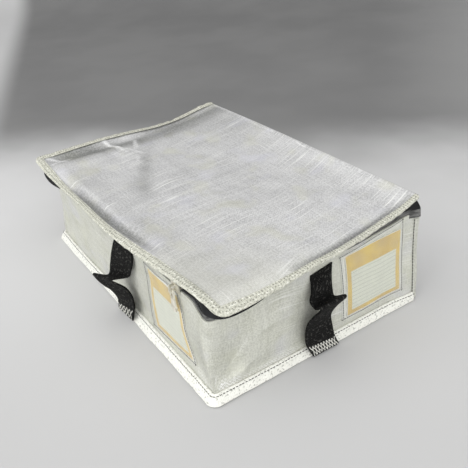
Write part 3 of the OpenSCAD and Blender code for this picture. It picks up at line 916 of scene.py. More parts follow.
@dataclass(frozen=True)
class WallField:
    """The three zipped walls as one soft surface.

    A place on it is s, the distance along the walls from the middle of the front (right is positive), and a
    height. Sizes are in mm and follow the CAD part.
    """

    half_len: float = 144.0
    half_dep: float = 95.0
    corner: float = 10.0
    height: float = 76.0
    end_y: float = 94.8
    foot_corner: float = 1.5
    open_z: float = 46.0
    creases: tuple[Crease, ...] = (
        Crease((150.0, 8.0), (178.0, 24.0), 2.6, 1.5),
        Crease((156.0, 5.0), (163.0, 36.0), 2.4, -1.4),
        Crease((168.0, 7.0), (172.0, 30.0), 2.2, 1.1),
        Crease((149.0, 12.0), (146.0, 56.0), 6.0, -1.4),
        Crease((142.0, 6.0), (132.0, 62.0), 2.6, 1.6),
        Crease((124.0, 8.0), (116.0, 24.0), 3.0, -0.8),
        Crease((-120.0, 10.0), (-70.0, 26.0), 5.0, 0.8),
        Crease((172.0, 40.0), (214.0, 58.0), 5.0, 0.8),
        Crease((-30.0, 60.0), (-110.0, 30.0), 7.0, -0.9),
    )
    # Painted light on the walls, kept as a vertex attribute: positive heights are painted shade in folds
    # and round the near corner, negative heights are painted glints of the weave along the foot and up the
    # near corner.
    shades: tuple[Crease, ...] = (
        Crease((156.0, 9.8), (226.0, 11.0), 3.4, -0.62),
        Crease((158.0, 9.0), (167.0, 16.0), 2.8, -0.9),
        Crease((146.0, 15.0), (147.5, 21.0), 1.6, -1.2),
        Crease((152.5, 9.0), (155.0, 16.0), 2.2, -1.2),
        Crease((151.0, 14.0), (154.0, 62.0), 12.0, 0.24),
        Crease((152.0, 14.0), (172.0, 48.0), 1.4, -0.4),
        Crease((172.0, 12.0), (206.0, 18.0), 10.0, 0.2),
        Crease((128.0, 18.0), (126.0, 64.0), 9.0, 0.22),
        Crease((128.0, 8.0), (118.0, 14.0), 5.0, -0.4),
        Crease((-60.0, 70.0), (40.0, 70.0), 9.0, 0.10),
    )

    @property
    def arc(self) -> float:
        """Length of one corner."""
        return self.corner * math.pi / 2

    @property
    def run(self) -> float:
        """Half length of the straight front."""
        return self.half_len - self.corner

    def side_s(self, y: float, right: bool = True) -> float:
        """Distance along the walls of a place on a side wall."""
        s = self.run + self.arc + y + self.half_dep - self.corner
        return s if right else -s

    @property
    def end_s(self) -> float:
        """Distance along the walls of their back ends."""
        return self.side_s(self.end_y)

    def plan(self, s: np.ndarray) -> tuple[np.ndarray, np.ndarray]:
        """Unbent plan of the walls.

        Args:
            s: Distances along the walls.

        Returns:
            Points of the outer face and directions out of it.
        """
        sign, a = np.where(s < 0, -1.0, 1.0), np.abs(s)
        turn = np.clip((a - self.run) / self.corner, 0, math.pi / 2)
        back = np.maximum(a - self.run - self.arc, 0)
        x = np.minimum(a, self.run) + self.corner * np.sin(turn)
        y = -self.half_dep + self.corner * (1 - np.cos(turn)) + back
        return np.stack([sign * x, y], -1), np.stack([sign * np.sin(turn), -np.cos(turn)], -1)

    def stations(self, end: float, step: float, bends: int) -> np.ndarray:
        """Distances along the walls, closer together round the corners."""
        corner = np.linspace(self.run, self.run + self.arc, bends)
        return np.unique(np.concatenate([spaced(-end, end, step), corner, -corner]))

    def match(self, s: np.ndarray, other: "WallField") -> np.ndarray:
        """Distance along another plan that lies beside a distance along this one."""
        mine, theirs = ([0, w.run, w.run + w.arc, w.side_s(w.half_dep)] for w in (self, other))
        return np.sign(s) * np.interp(np.abs(s), mine, theirs)

    def swell(self, s: np.ndarray, z: np.ndarray) -> np.ndarray:
        """How far the soft wall stands out from its plain plan.

        Args:
            s: Distances along the walls.
            z: Heights.

        Returns:
            Distance out at each place.
        """
        belly = [(-326, 0), (-240, 2.2), (-165, 0.4), (-134, 0.2), (-80, 1.6), (-25, 0.0), (20, -1.5),
                 (62, -1.5), (112, -1.0), (134, -0.4), (152, 0.2), (185, 1.5), (240, 1.8), (290, 1.8),
                 (326, 0.6)]
        rise = ease(z / 16) * (1 - 0.5 * ease((z - 58) / 18))
        hold = ease((z - 5) / 14)
        turn = np.abs(s) - self.run - self.arc / 2
        out = spline(belly, s) * rise - 2.6 * np.exp(-((turn / 16) ** 2)) * ease((z - 20) / 40)
        from_end = np.abs(s) - self.side_s(self.half_dep)
        out = out + self.flare(z) * np.exp(-((from_end / 16) ** 2)) * ease(z / 8)
        out = out + hold * (0.6 * ripples(s, 1.4 * z, 62, 11) + 0.32 * ripples(s, z, 24, 12))
        return out + hold * sum(c.lift(s, z) for c in self.creases)

    def flare(self, z: np.ndarray) -> np.ndarray:
        """How far the lower part of a wall stands out at its back end."""
        return 3.2 * (1 - ease(z / 66))

    def shade(self, s: np.ndarray, z: np.ndarray) -> np.ndarray:
        """Painted shade in the folds of the walls, and painted glints of the weave along the foot."""
        return np.clip(sum(c.lift(s, z) for c in self.shades), -0.8, 0.5)

    def rise(self, s: np.ndarray) -> np.ndarray:
        """How far the top of the wall lies above its plain height.

        Args:
            s: Distances along the walls.

        Returns:
            Height above plain, below it where negative.
        """
        table = [(-330, 1.6), (-250, -0.6), (-180, -3.0), (-160, -5.0), (-138, -6.0), (-120, -4.0),
                 (-96, -1.6), (-60, -1.0), (15, -0.4), (40, 0.4), (60, 1.8), (80, 3.2), (100, 3.7),
                 (112, 3.6), (119, 3.2), (125, 1.4), (129, -2.4), (133, -6.2), (138, -8.2), (146, -8.0),
                 (154, -6.8), (164, -5.2), (182, -2.8), (210, -1.0), (240, 0.4), (258, 1.3), (285, 3.6),
                 (316, 6.0), (330, 6.4)]
        return spline(table, s) + 0.25 * ripples(s, 0 * s, 46, 14)

    def at(self, s: np.ndarray, z: np.ndarray, out: np.ndarray | float = 0.0,
           cap: np.ndarray | float = 9.0) -> np.ndarray:
        """Place of a point on or off the soft wall, whose corners open from a sharp foot to a round top.

        Args:
            s: Distances along the walls.
            z: Plain heights.
            out: Distances out from the wall's outer face.
            cap: Largest rise above the plain height.

        Returns:
            Points in mm.
        """
        s, z, out = np.broadcast_arrays(np.asarray(s, float), np.asarray(z, float), np.asarray(out, float))
        point, normal = self.plan(s)
        sharp = replace(self, corner=self.foot_corner)
        foot, foot_normal = sharp.plan(self.match(s, sharp))
        low = (1 - ease(z / self.open_z))[..., None]
        normal = normal + (foot_normal - normal) * low
        flat = point + (foot - point) * low + normal * (out + self.swell(s, z))[..., None]
        high = z + np.minimum(self.rise(s), cap) * ease((z - 30) / (self.height - 30))
        return np.concatenate([flat, high[..., None]], -1)

    def normal(self, s: np.ndarray) -> np.ndarray:
        """Level direction out of the wall."""
        out = self.plan(np.asarray(s, float))[1]
        return np.concatenate([out, np.zeros(out.shape[:-1] + (1,))], -1)


@dataclass(frozen=True)
class LidField:
    """The soft lid at rest: how each of its plain CAD places has moved, in mm.

    The lid sags over the zip along the front and the near right side, stands up at the back right corner
    and is pulled back at the near corner, as in the photo.
    """

    half_len: float = 151.0
    front_y: float = -102.0
    back_y: float = 97.0
    wall_x: float = 144.0
    wall_y: float = -95.0
    creases: tuple[Crease, ...] = (
        Crease((-145.0, -34.0), (-106.0, -27.0), 1.8, 1.2),
        Crease((-140.0, -46.0), (-96.0, -38.0), 5.0, -0.8),
        Crease((-62.0, -38.0), (-10.0, -52.0), 11.0, -2.6),
        Crease((-70.0, -20.0), (-84.0, -34.0), 5.0, 1.2),
        Crease((8.0, -84.0), (-16.0, -35.0), 3.4, 1.0),
        Crease((-84.0, -95.0), (66.0, -90.0), 3.8, -3.0),
        Crease((144.4, -26.0), (143.6, 78.0), 2.4, -1.5),
        Crease((-134.0, -88.0), (-136.0, -10.0), 8.0, -3.0),
        Crease((-138.0, -20.0), (-141.0, 84.0), 6.0, -2.6),
        Crease((40.0, -20.0), (90.0, 40.0), 22.0, 1.2),
        Crease((-40.0, 20.0), (30.0, 60.0), 24.0, -1.2),
    )
    # Painted light on the lid, kept as a vertex attribute: positive heights are painted shade in its
    # troughs, dents and the grooves inside the tape; negative heights are painted glints along sharp
    # creases and a painted lighter patch at the right.
    painted_shades: tuple[Crease, ...] = (
        Crease((-70.0, -95.4), (62.0, -89.8), 3.6, 1.05),
        Crease((84.0, -84.0), (142.0, -66.0), 36.0, 0.12),
        Crease((-70.0, -28.0), (-16.0, -52.0), 8.0, 0.42),
        Crease((-104.0, -12.0), (-58.0, -32.0), 6.0, 0.28),
        Crease((-134.0, -92.0), (-124.0, -10.0), 10.0, 0.75),
        Crease((-126.0, -22.0), (-124.0, 54.0), 11.0, 0.60),
        Crease((-142.0, 0.0), (-142.0, 60.0), 7.0, 0.42),
        Crease((-136.0, 30.0), (-130.0, 130.0), 14.0, 0.48),
        Crease((-140.0, 50.0), (-110.0, 120.0), 40.0, 0.20),
        Crease((-110.0, 84.0), (-50.0, 82.0), 22.0, 0.20),
        Crease((-141.0, -84.0), (-134.0, -34.0), 8.0, 0.35),
        Crease((-20.0, -80.0), (64.0, -77.0), 12.0, 0.14),
        Crease((144.2, -30.0), (143.6, 92.0), 2.5, 0.95),
        Crease((-147.0, -98.0), (-146.0, -26.0), 9.0, 0.45),
        Crease((-102.0, -84.0), (-40.0, -84.0), 13.0, 0.17),
        Crease((-146.0, -35.0), (-106.0, -27.0), 1.5, -1.7),
        Crease((-132.0, -8.0), (-109.0, -17.0), 1.2, -1.4),
        Crease((-123.0, -30.0), (-94.0, -16.0), 1.3, -1.4),
        Crease((-90.0, -24.0), (-78.0, -30.0), 1.2, -1.2),
        Crease((-147.0, -94.0), (-126.0, -78.0), 1.3, -1.2),
        Crease((-130.0, -94.0), (-133.0, -72.0), 1.1, -1.0),
        Crease((70.0, -30.0), (118.0, 40.0), 38.0, -0.16),
    )

    def edge_rise(self, x: np.ndarray, y: np.ndarray) -> np.ndarray:
        """Rise of the lid over the box, spread from its four edges.

        Args:
            x: Plain places along the bag.
            y: Plain places across the bag.

        Returns:
            Rise at each place.
        """
        front = [(-151, -1.4), (-46, -1.2), (12, -1.0), (70, -0.3), (117, 0.4), (151, -1.6)]
        right = [(-102, -1.6), (-56, -1.8), (-17, -1.2), (31, -0.2), (61, 1.6), (80, 3.6), (97, 8.6)]
        left = [(-102, -1.4), (-35, -0.6), (30, -3.6), (63, -2.6), (97, 1.0)]
        back = [(-151, 1.0), (-100, 3.0), (-35, 5.0), (56, 6.6), (95, 7.4), (151, 8.6)]
        p = np.clip((x / self.half_len + 1) / 2, 0, 1)
        v = np.clip((y - self.front_y) / (self.back_y - self.front_y), 0, 1)
        across = (1 - v) * spline(front, x) + v * spline(back, x)
        along = (1 - p) * spline(left, y) + p * spline(right, y)
        front_ends = (1 - p) * front[0][1] + p * front[-1][1]
        back_ends = (1 - p) * back[0][1] + p * back[-1][1]
        return across + along - ((1 - v) * front_ends + v * back_ends)

    def brim_drop(self, x: np.ndarray, y: np.ndarray) -> np.ndarray:
        """Extra drop of the bound edge outside the walls.

        Args:
            x: Plain places along the bag.
            y: Plain places across the bag.

        Returns:
            Height change at each place, negative downwards.
        """
        front = [(-151, 2.2), (-138, 0.2), (-122, -2.4), (-100, -3.8), (-46, -3.6), (12, -3.2), (62, -3.0),
                 (96, -1.0), (112, -0.2), (140, -0.2), (151, -1.0)]
        right = [(-102, -3.6), (-79, -4.4), (-56, -3.2), (-37, -1.8), (-17, -0.8), (11, -1.0), (31, -0.6),
                 (61, 0.0), (97, 0.4)]
        left = [(-102, 1.4), (-40, 1.6), (0, 1.4), (33, 0.2), (55, 1.0), (72, 2.6), (97, 1.2)]

        def share(away: np.ndarray) -> np.ndarray:
            """Share of the drop, by the distance out from a wall."""
            return ease((away + 8) / 14)

        return (spline(front, x) * share(self.wall_y - y) + spline(right, y) * share(x - self.wall_x)
                + spline(left, y) * share(-self.wall_x - x))

    def slip(self, x: np.ndarray, y: np.ndarray) -> tuple[np.ndarray, np.ndarray]:
        """Level shift of the soft lid.

        Args:
            x: Plain places along the bag.
            y: Plain places across the bag.

        Returns:
            Shifts along and across the bag.
        """
        pull = [(-151, -4.8), (-138, -4.2), (-100, -3.2), (-46, -2.6), (12, -3.0), (72, 1.6), (117, 5.0),
                (146, 9.5), (151, 11.0)]
        right = [(-102, 9.0), (-80, 8.6), (-56, 7.5), (-33, 7.0), (-13, 6.0), (14, 4.5), (33, 3.0),
                 (61, 0.0), (97, -2.6)]
        left = [(-102, -0.6), (30, 1.6), (97, -1.6)]
        p = np.clip((x / self.half_len + 1) / 2, 0, 1)
        v = np.clip((y - self.front_y) / (self.back_y - self.front_y), 0, 1)
        return spline(right, y) * p ** 3 + spline(left, y) * (1 - p) ** 3, spline(pull, x) * (1 - v) ** 2.5

    def relief(self, x: np.ndarray, y: np.ndarray) -> np.ndarray:
        """Sag, dents and unevenness of the lid's cloth.

        Args:
            x: Plain places along the bag.
            y: Plain places across the bag.

        Returns:
            Height at each place.
        """
        p, v = x / self.half_len, (y - self.front_y) / (self.back_y - self.front_y)
        inner = np.clip((1 - p ** 2) * 4 * v * (1 - v), 0, 1)
        flat = -1.6 * inner + 0.6 * ripples(x, y, 90, 21) * inner ** 0.5 + 0.22 * ripples(x, y, 30, 22)
        return flat + sum(c.lift(x, y) for c in self.creases)

    def painted_shade(self, x: np.ndarray, y: np.ndarray) -> np.ndarray:
        """Painted shade in the folds of the lid, and painted glints along its sharp creases."""
        return np.clip(sum(c.lift(x, y) for c in self.painted_shades), -0.8, 0.82)

    def back_rise(self, x: np.ndarray, z: np.ndarray) -> np.ndarray:
        """Rise of the back wall's upper part, up to the fold of the lid."""
        return self.edge_rise(x, np.full_like(x, self.back_y)) * ease((z - 45) / 40)

    def at(self, x: np.ndarray, y: np.ndarray, z: np.ndarray, relief: float = 0.0) -> np.ndarray:
        """Place of a point of the lid.

        Args:
            x: Plain places along the bag.
            y: Plain places across the bag.
            z: Plain heights.
            relief: Share of the cloth's unevenness to add.

        Returns:
            Points in mm.
        """
        x, y, z = np.broadcast_arrays(np.asarray(x, float), np.asarray(y, float), np.asarray(z, float))
        dx, dy = self.slip(x, y)
        dz = self.edge_rise(x, y) + self.brim_drop(x, y)
        if relief:
            dz = dz + relief * self.relief(x, y)
        return np.stack([x + dx, y + dy, z + dz], -1)


def spaced(low: float, high: float, step: float) -> np.ndarray:
    """Even places from low to high."""
    return np.linspace(low, high, max(2, int(math.ceil(abs(high - low) / step)) + 1))


class Kit:
    """What every sub-assembly shares: the soft fields, the finishes and the stitch maker."""

    def __init__(self) -> None:
        """Makes what is shared."""
        self.wall = WallField()
        self.lid = LidField()
        self.finish = Finishes(CARD_SIZE)
        self.repeat = PathRepeat()

    def place(self, obj: bpy.types.Object, body: str, material: bpy.types.Material | None = None,
              slot: str | None = None, nodes: Sequence[str] = ()) -> bpy.types.Object:
        """Gives a piece its finish, its body and the CAD nodes that it stands for.

        Args:
            obj: The piece.
            body: CAD body that it rides on, or "" where the caller leaves it without one.
            material: Its material.
            slot: Material slot name; not used.
            nodes: CAD nodes that it replaces.

        Returns:
            The piece.
        """
        if material is not None:
            obj.data.materials.clear()
            obj.data.materials.append(material)
        if body:
            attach(obj, body)
        if nodes:
            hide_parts(*nodes)
        LOG.info("piece %s: %d faces on %s", obj.name, len(obj.data.polygons), body or "two bodies")
        return obj

    def sew(self, name: str, rows: Rows, item: Repeat, material: bpy.types.Material, body: str, slot: str,
            nodes: Sequence[str] = ()) -> None:
        """Lays stitches or teeth along rows and places them."""
        self.place(self.repeat.lay(name, rows, item, material), body, None, slot, nodes)


# Edges of the webbing in mm, left then right seen from outside: place along the wall, distance out, height.
FRONT_UPPER: tuple[Edge, Edge] = (
    ((-6.0, 0.2, 77.0), (-5.1, 3.0, 72.9), (-9.0, 6.0, 60.0), (-11.0, 8.0, 49.8), (-12.5, 11.5, 38.6),
     (-11.9, 24.0, 45.6), (-11.9, 23.4, 43.6)),
    ((17.0, -0.2, 77.0), (18.6, -0.5, 69.7), (19.0, 0.6, 62.0), (16.0, 2.2, 53.0), (12.9, 3.5, 47.4),
     (9.5, 17.0, 48.0), (9.5, 16.4, 46.0)))
FRONT_LOWER: tuple[Edge, Edge] = (
    ((-11.9, 23.4, 43.6), (-10.5, 21.3, 38.8), (-8.5, 17.5, 32.6), (-7.0, 14.0, 28.5), (-8.5, 9.0, 16.5),
     (-12.0, 8.0, 8.5), (-14.5, 7.6, 1.5)),
    ((9.5, 16.4, 46.0), (9.5, 13.0, 42.5), (12.9, 8.0, 37.7), (13.9, 4.4, 28.0), (16.0, 4.8, 20.0),
     (14.5, 5.8, 13.4), (13.0, 7.4, 4.0)))
SIDE_UPPER: tuple[Edge, Edge] = (
    ((-8.4, 1.3, 71.0), (-9.2, 2.8, 67.0), (-13.4, 8.4, 61.0), (-15.5, 10.0, 56.0), (-12.5, 11.5, 49.5),
     (-14.0, 20.0, 56.2), (-14.0, 19.5, 54.2)),
    ((11.6, 1.3, 74.0), (10.7, 2.0, 71.5), (8.8, 3.7, 65.5), (8.4, 5.0, 54.7), (9.4, 6.0, 47.5),
     (8.8, 20.0, 56.5), (8.6, 19.5, 54.4)))
SIDE_LOWER: tuple[Edge, Edge] = (
    ((-14.0, 19.5, 54.2), (-13.2, 17.5, 51.0), (-16.6, 14.0, 45.0), (-19.2, 11.0, 37.8), (-19.0, 8.0, 27.2),
     (-18.3, 7.6, 16.3), (-12.0, 7.6, 1.5)),
    ((8.6, 19.5, 54.4), (4.5, 16.0, 48.5), (2.8, 12.5, 42.0), (3.8, 9.0, 35.0), (7.0, 6.3, 23.6),
     (8.5, 7.3, 12.5), (12.9, 7.6, 1.2)))


@dataclass
class Shell:
    """Walls, back and base of the bag with their linings and taped seams, in mm."""

    kit: Kit
    cloth_t: float = 1.0
    pad_t: float = 3.1
    lining_out: float = -3.2
    lining_in: float = -4.0
    low_z: float = 1.1
    back_top: float = 84.0
    back_in: float = 90.9
    back_half: float = 139.8

    def build(self) -> None:
        """Makes every piece of the shell."""
        self._walls()
        self._back()
        self._base()
        self._foot()
        self._seams()

    def _walls(self) -> None:
        """One soft padded wall round three sides, and its lining."""
        wall, kit = self.kit.wall, self.kit
        s = wall.stations(wall.end_s, 2.6, 15)
        z = np.concatenate([spaced(self.low_z, 66, 2.2), spaced(67, wall.height, 1.2)])
        ss, zz = np.meshgrid(s, z, indexing="ij")
        thin = -self.pad_t + (self.pad_t - self.cloth_t) * ease((zz - 66) / 3)
        uv = np.stack([zz, ss], -1)
        pad = thick_sheet("wall_padding", wall.at(ss, zz), wall.at(ss, zz, thin), uv, wall.shade(ss, zz))
        kit.place(pad, "bag", kit.finish.wall, "glass_cloth", ["wall_cloth", "wall_felt"])
        lining = thick_sheet("wall_lining_cloth", wall.at(ss, zz, self.lining_out),
                             wall.at(ss, zz, self.lining_in), uv)
        kit.place(lining, "bag", kit.finish.lining, "lining", ["wall_lining"])
        2 * wall.end_s * MM

    def back_at(self, x: np.ndarray, z: np.ndarray, inside: float) -> np.ndarray:
        """Place of a point on the soft back wall.

        Args:
            x: Places along the wall.
            z: Plain heights.
            inside: Distance in from the outer face.

        Returns:
            Points in mm.
        """
        wall = self.kit.wall
        t = np.clip(z / 80, 0, 1)
        hump = 1.6 * np.cos(np.clip(x / wall.half_len, -1, 1) * math.pi / 2) * np.sin(t * math.pi)
        free = ease((z - 4) / 12) * ease((wall.half_len - np.abs(x)) / 10)
        hump = hump + 0.5 * ripples(x, z, 55, 31) * free
        return np.stack([x, wall.half_dep - inside + hump, z + self.kit.lid.back_rise(x, z)], -1)

    def _back(self) -> None:
        """Back wall up to the fold of the lid, and its lining."""
        kit = self.kit
        xx, zz = np.meshgrid(spaced(-self.back_half, self.back_half, 4),
                             spaced(self.low_z, self.back_top, 3), indexing="ij")
        deep = self.pad_t - (self.pad_t - self.cloth_t) * ease((zz - 74) / 3)
        uv = np.stack([xx + 700, zz], -1)
        pad = thick_sheet("back_padding", self.back_at(xx, zz, 0), self.back_at(xx, zz, deep), uv)
        kit.place(pad, "bag", kit.finish.wall, "glass_cloth", ["back_cloth", "back_felt"])
        zz = np.minimum(zz, 76 * zz / self.back_top)
        lining = thick_sheet("back_lining_cloth", self.back_at(xx, zz, -self.lining_out),
                             self.back_at(xx, zz, -self.lining_in), uv)
        kit.place(lining, "bag", kit.finish.lining, "lining", ["back_lining"])

    def _base(self) -> None:
        """Outer cloth, felt and lining of the base."""
        kit, wall = self.kit, self.kit.wall
        for name, out, end, low, high, node, slot, material in (
            ("base_padding", 0.0, wall.half_dep, 0.0, 1.0, ["base_cloth"], "glass_cloth", kit.finish.wall),
            ("base_felt_pad", -4.1, self.back_in, 1.1, 3.1, ["base_felt"], "felt", kit.finish.lining),
            ("base_lining_cloth", -4.1, self.back_in, 3.2, 4.0, ["base_lining"], "lining",
             kit.finish.lining),
        ):
            x, y, uv = plan_grid(wall.half_len + out, -wall.half_dep - out, end, 4.0, 4.0)
            lift = 0.25 * (1 + ripples(x, y, 60, 41)) if node[0] == "base_lining" else 0.0 * x
            obj = thick_sheet(name, np.stack([x, y, high + lift], -1), np.stack([x, y, low + lift], -1), uv)
            kit.place(obj, "bag", material, slot, node)

    def _foot(self) -> None:
        """Splayed taped seam round the foot, with its row of stitches."""
        kit, wall = self.kit, self.kit.wall
        s = wall.stations(wall.side_s(wall.half_dep), 2.4, 25)
        section = [(0.2, 0.0), (2.4, 0.0), (4.6, 0.05), (5.6, 0.5), (6.1, 1.2), (5.8, 2.1), (4.8, 3.9),
                   (3.6, 5.8), (2.5, 7.4), (1.9, 8.1), (1.1, 8.4), (0.2, 8.1)]
        sway = 0.2 * ripples(s, 0 * s, 50, 51) + 0.15 * ripples(s, 0 * s, 12, 52)

        def foot_at(out: float, z: float) -> np.ndarray:
            """Line of points along the swaying foot seam."""
            return wall.at(s, z + sway * 0.4 * min(z / 4, 1), out + sway * min(out / 5, 1))

        binding = tube("foot_binding", np.stack([foot_at(out, z) for out, z in section], 1))
        kit.place(binding, "bag", kit.finish.foot, "binding", ["base_binding"])
        row = [(foot_at(2.75, 7.35), wall.normal(s) + np.array([0, 0, 0.7]))]
        kit.sew("foot_stitches", row, Repeat(2.7, 2.2, 0.6, 0.5, 0.1), kit.finish.dark_thread,
                "bag", "binding")

    def _seams(self) -> None:
        """Taped upright seams behind the two back corners."""
        kit, wall = self.kit, self.kit.wall
        z = spaced(self.low_z, wall.height - 0.6, 2.0)
        for sign, side in ((1, "right"), (-1, "left")):
            sway = 0.5 * ripples(z, 0 * z, 30, 61 + sign) * ease(z / 10)
            lean = wall.flare(z) + 0.6
            section = [(-3.0, 0.1), (-3.0, 5.0), (-2.6, 6.0), (-1.5, 6.5), (-0.4, 6.0), (0.0, 5.0),
                       (0.0, 0.1)]
            rings = np.stack([
                np.stack([sign * (wall.half_len + across + lean + sway * back / 6),
                          wall.half_dep + back + sway * back / 9, z], -1)
                for across, back in section], 1)
            flange = tube(f"{side}_seam_tape", rings)
            kit.place(flange, "bag", kit.finish.wall, "binding", [f"{side}_seam_binding"])
            line = np.stack([sign * (wall.half_len + 0.35 + lean), wall.half_dep + 0.6 + 0 * z, z], -1)
            row = [(line, np.array([sign, 0.0, 0.0]))]
            kit.sew(f"{side}_seam_stitches", row, Repeat(2.7, 2.5, 0.9, 0.5, 0.1), kit.finish.dark_thread,
                    "bag", "binding")


def plan_grid(half_len: float, front: float, back: float, corner: float, step: float
              ) -> tuple[np.ndarray, np.ndarray, np.ndarray]:
    """Grid over a plan with two rounded front corners.

    Args:
        half_len: Half of the plan's length.
        front: Place of its front edge.
        back: Place of its back edge.
        corner: Radius of its front corners.
        step: Largest distance between neighbours.

    Returns:
        Places along and across the bag, and the cloth place of each.
    """
    turn = np.linspace(0, math.pi / 2, 9)
    y = np.concatenate([front + corner * (1 - np.cos(turn)), spaced(front + corner, back, step)[1:]])
    reach = np.clip((y - front) / corner, 0, 1)
    half = half_len - corner + corner * np.sqrt(1 - (1 - reach) ** 2)
    share = spaced(-1, 1, step / half_len)
    edge = np.sign(share) * (1 - (1 - np.abs(share)) ** 1.25)
    x = half[:, None] * edge[None, :]
    yy = np.repeat(y[:, None], len(share), 1)
    return x, yy, np.stack([x, yy], -1)


@dataclass
class Lid:
    """Padded lid with its fold at the hinge, its lining and its taped edge, in mm."""

    kit: Kit
    top_z: float = 90.0
    under_z: float = 86.9
    edge_out: float = 5.4
    hinge_y: float = 95.0
    hinge_z: float = 88.0
    fold_r: float = 2.2
    fold_in_r: float = 0.9
    flat_end: float = 92.5
    tape_end: float = 94.6
    lining_z: tuple[float, float] = (86.8, 86.0)
    skirt_z: float = 79.0
    skirt_top: float = 86.6
    skirt_out: float = 97.0
    skirt_in: float = 95.9
    skirt_lean: float = 0.06
    row_mm: float = 1.2
    bow_half: float = 150.0
    corner: float = 2.0

    def build(self) -> None:
        """Makes every piece of the lid."""
        self._panel()
        self._lining()
        self._binding()

    def _panel(self) -> None:
        """Cloth and felt of the lid, in one sheet with the fold down to the back wall."""
        kit, lid = self.kit, self.kit.lid
        half, front = lid.wall_x + self.edge_out, lid.wall_y - self.edge_out
        x, y, uv = plan_grid(half, front, self.flat_end, self.corner + self.edge_out, 2.0)
        away = np.maximum(np.abs(x) - lid.wall_x, lid.wall_y - y)
        thin = np.maximum(ease((away + 4) / 5) * 1.9, ease((y - 84) / 8) * 2.1)
        top = lid.at(x, y, self.top_z - 0.5 * ease((away + 1) / 4), 1.0)
        under = lid.at(x, y, self.under_z + thin, 1.0)
        outer = self._fold(x[-1], self.fold_r, self.skirt_out)
        inner = self._fold(x[-1], self.fold_in_r, self.skirt_in)
        length = self.flat_end + self.row_mm * np.arange(1, len(outer) + 1)
        fold_uv = np.stack(np.meshgrid(length, x[-1], indexing="ij")[::-1], -1)
        # Painted shade and painted glints of the lid's folds; the fold at the hinge gets none.
        painted_shade = np.concatenate([lid.painted_shade(x, y), np.zeros(outer.shape[:2])])
        panel = thick_sheet("lid_padding", np.concatenate([top, outer]), np.concatenate([under, inner]),
                            np.concatenate([uv, fold_uv]), painted_shade)
        kit.place(panel, "", kit.finish.cloth, "glass_cloth", ["lid_cloth", "lid_felt"])
        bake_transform(panel)
        self._hinge_row()

    def _fold(self, x: np.ndarray, radius: float, skirt_y: float) -> np.ndarray:
        """One face of the fold, from the flat lid round the hinge and down the back wall.

        Args:
            x: Places along the bag.
            radius: Radius of the face round the hinge.
            skirt_y: Where the face lies at the top of the skirt.

        Returns:
            Grid of points in mm, rows by places by 3.
        """
        lid = self.kit.lid
        turn = np.linspace(math.pi / 2, -0.1, 9)
        skirt = spaced(self.skirt_top, self.skirt_z, 1.3)
        y = np.concatenate([self.hinge_y + radius * np.cos(turn),
                            skirt_y - self.skirt_lean * np.arange(len(skirt))])
        z = np.concatenate([self.hinge_z + radius * np.sin(turn), skirt])
        xx, yy, zz = np.broadcast_arrays(x[None, :], y[:, None], z[:, None])
        along = lid.at(xx, np.minimum(yy, lid.back_y), zz)[..., 0]
        narrow = 1 - 0.06 * ease((self.top_z - zz) / 5)
        bow = np.cos(np.clip(xx / self.bow_half, -1, 1) * math.pi / 2)
        bulge = 1.6 * bow * np.sin(np.minimum(zz / 80, 1) * math.pi)
        across = yy + np.maximum(bulge, 0) * (zz < 86)
        return np.stack([along * narrow, across, zz + lid.back_rise(xx, zz)], -1)

    def _hinge_row(self) -> None:
        """Row of stitches along the foot of the skirt."""
        kit, lid = self.kit, self.kit.lid
        z = self.skirt_z + 1.2
        xs = spaced(-138, 138, 4)
        behind = 97.2 + 0.25 * np.cos(xs / self.bow_half * math.pi / 2)
        line = np.stack([xs, behind, z + lid.back_rise(xs, 0 * xs + z)], -1)
        row = [(line, np.array([0.0, 1.0, 0.0]))]
        kit.sew("hinge_stitches", row, Repeat(3.2, 2.5, 0.7, 0.5, 0.1), kit.finish.grey_thread,
                "bag", "glass_cloth")

    def _lining(self) -> None:
        """Lining under the lid."""
        kit, lid = self.kit, self.kit.lid
        half, front, back = 142.0, -89.0, 89.0
        x, y, uv = plan_grid(half, front, back, 8.0, 4.0)
        lining = thick_sheet("lid_lining_cloth", *(lid.at(x, y, z, 0.9) for z in self.lining_z), uv)
        kit.place(lining, "lid", kit.finish.lining, "lining", ["lid_lining"])

    def rim(self, s: np.ndarray, out: np.ndarray | float, z: float, relief: float = 0.0) -> np.ndarray:
        """Place of a point along the edge of the lid.

        Args:
            s: Distances along the walls.
            out: Distance out from the walls.
            z: Plain heights.
            relief: Share of the lid cloth's unevenness to add.

        Returns:
            Points in mm.
        """
        point, normal = self.edge.plan(s)
        flat = point + normal * np.broadcast_to(out, s.shape)[:, None]
        return self.kit.lid.at(flat[:, 0], flat[:, 1], z + 0 * s, relief)

    @property
    def edge(self) -> WallField:
        """Plan of the lid's edge: the walls' plan with tighter corners."""
        return replace(self.kit.wall, corner=self.corner)

    def _binding(self) -> None:
        """Folded tape over the edge of the lid, with two rows of stitches."""
        kit = self.kit
        s = self.edge.stations(self.edge.side_s(self.tape_end), 2.0, 15)
        inner = spline([(-330, 0.8), (-180, 0.4), (-150, -0.2), (-120, 0.2), (-90, 1.8), (-20, 2.0),
                        (30, 1.0), (70, -0.2), (148, -0.2), (176, 1.6), (200, 2.4), (330, 2.0)], s)
        section = [(-0.2, 90.55), (1.6, 90.85), (3.6, 90.9), (5.2, 90.65), (6.4, 90.1), (6.9, 89.2),
                   (6.5, 88.2), (5.2, 87.7), (2.0, 87.7), (0.6, 88.0), (0.6, 88.5), (2.2, 88.3),
                   (4.8, 88.3), (5.9, 88.6), (6.3, 89.2), (5.9, 89.7), (4.8, 90.1), (3.4, 90.3),
                   (1.6, 90.3), (-0.2, 90.0)]
        sway = 0.35 * ripples(s, 0 * s, 26, 71) + 0.35 * ripples(s, 0 * s, 8, 72)

        def tape_at(out: float, z: float) -> np.ndarray:
            """Line of points along the swaying edge tape."""
            point = self.rim(s, inner + (out + 0.2) * (6.9 - inner) / 7.1, z)
            point[:, 2] += sway * (out + 0.5) / 6
            return point

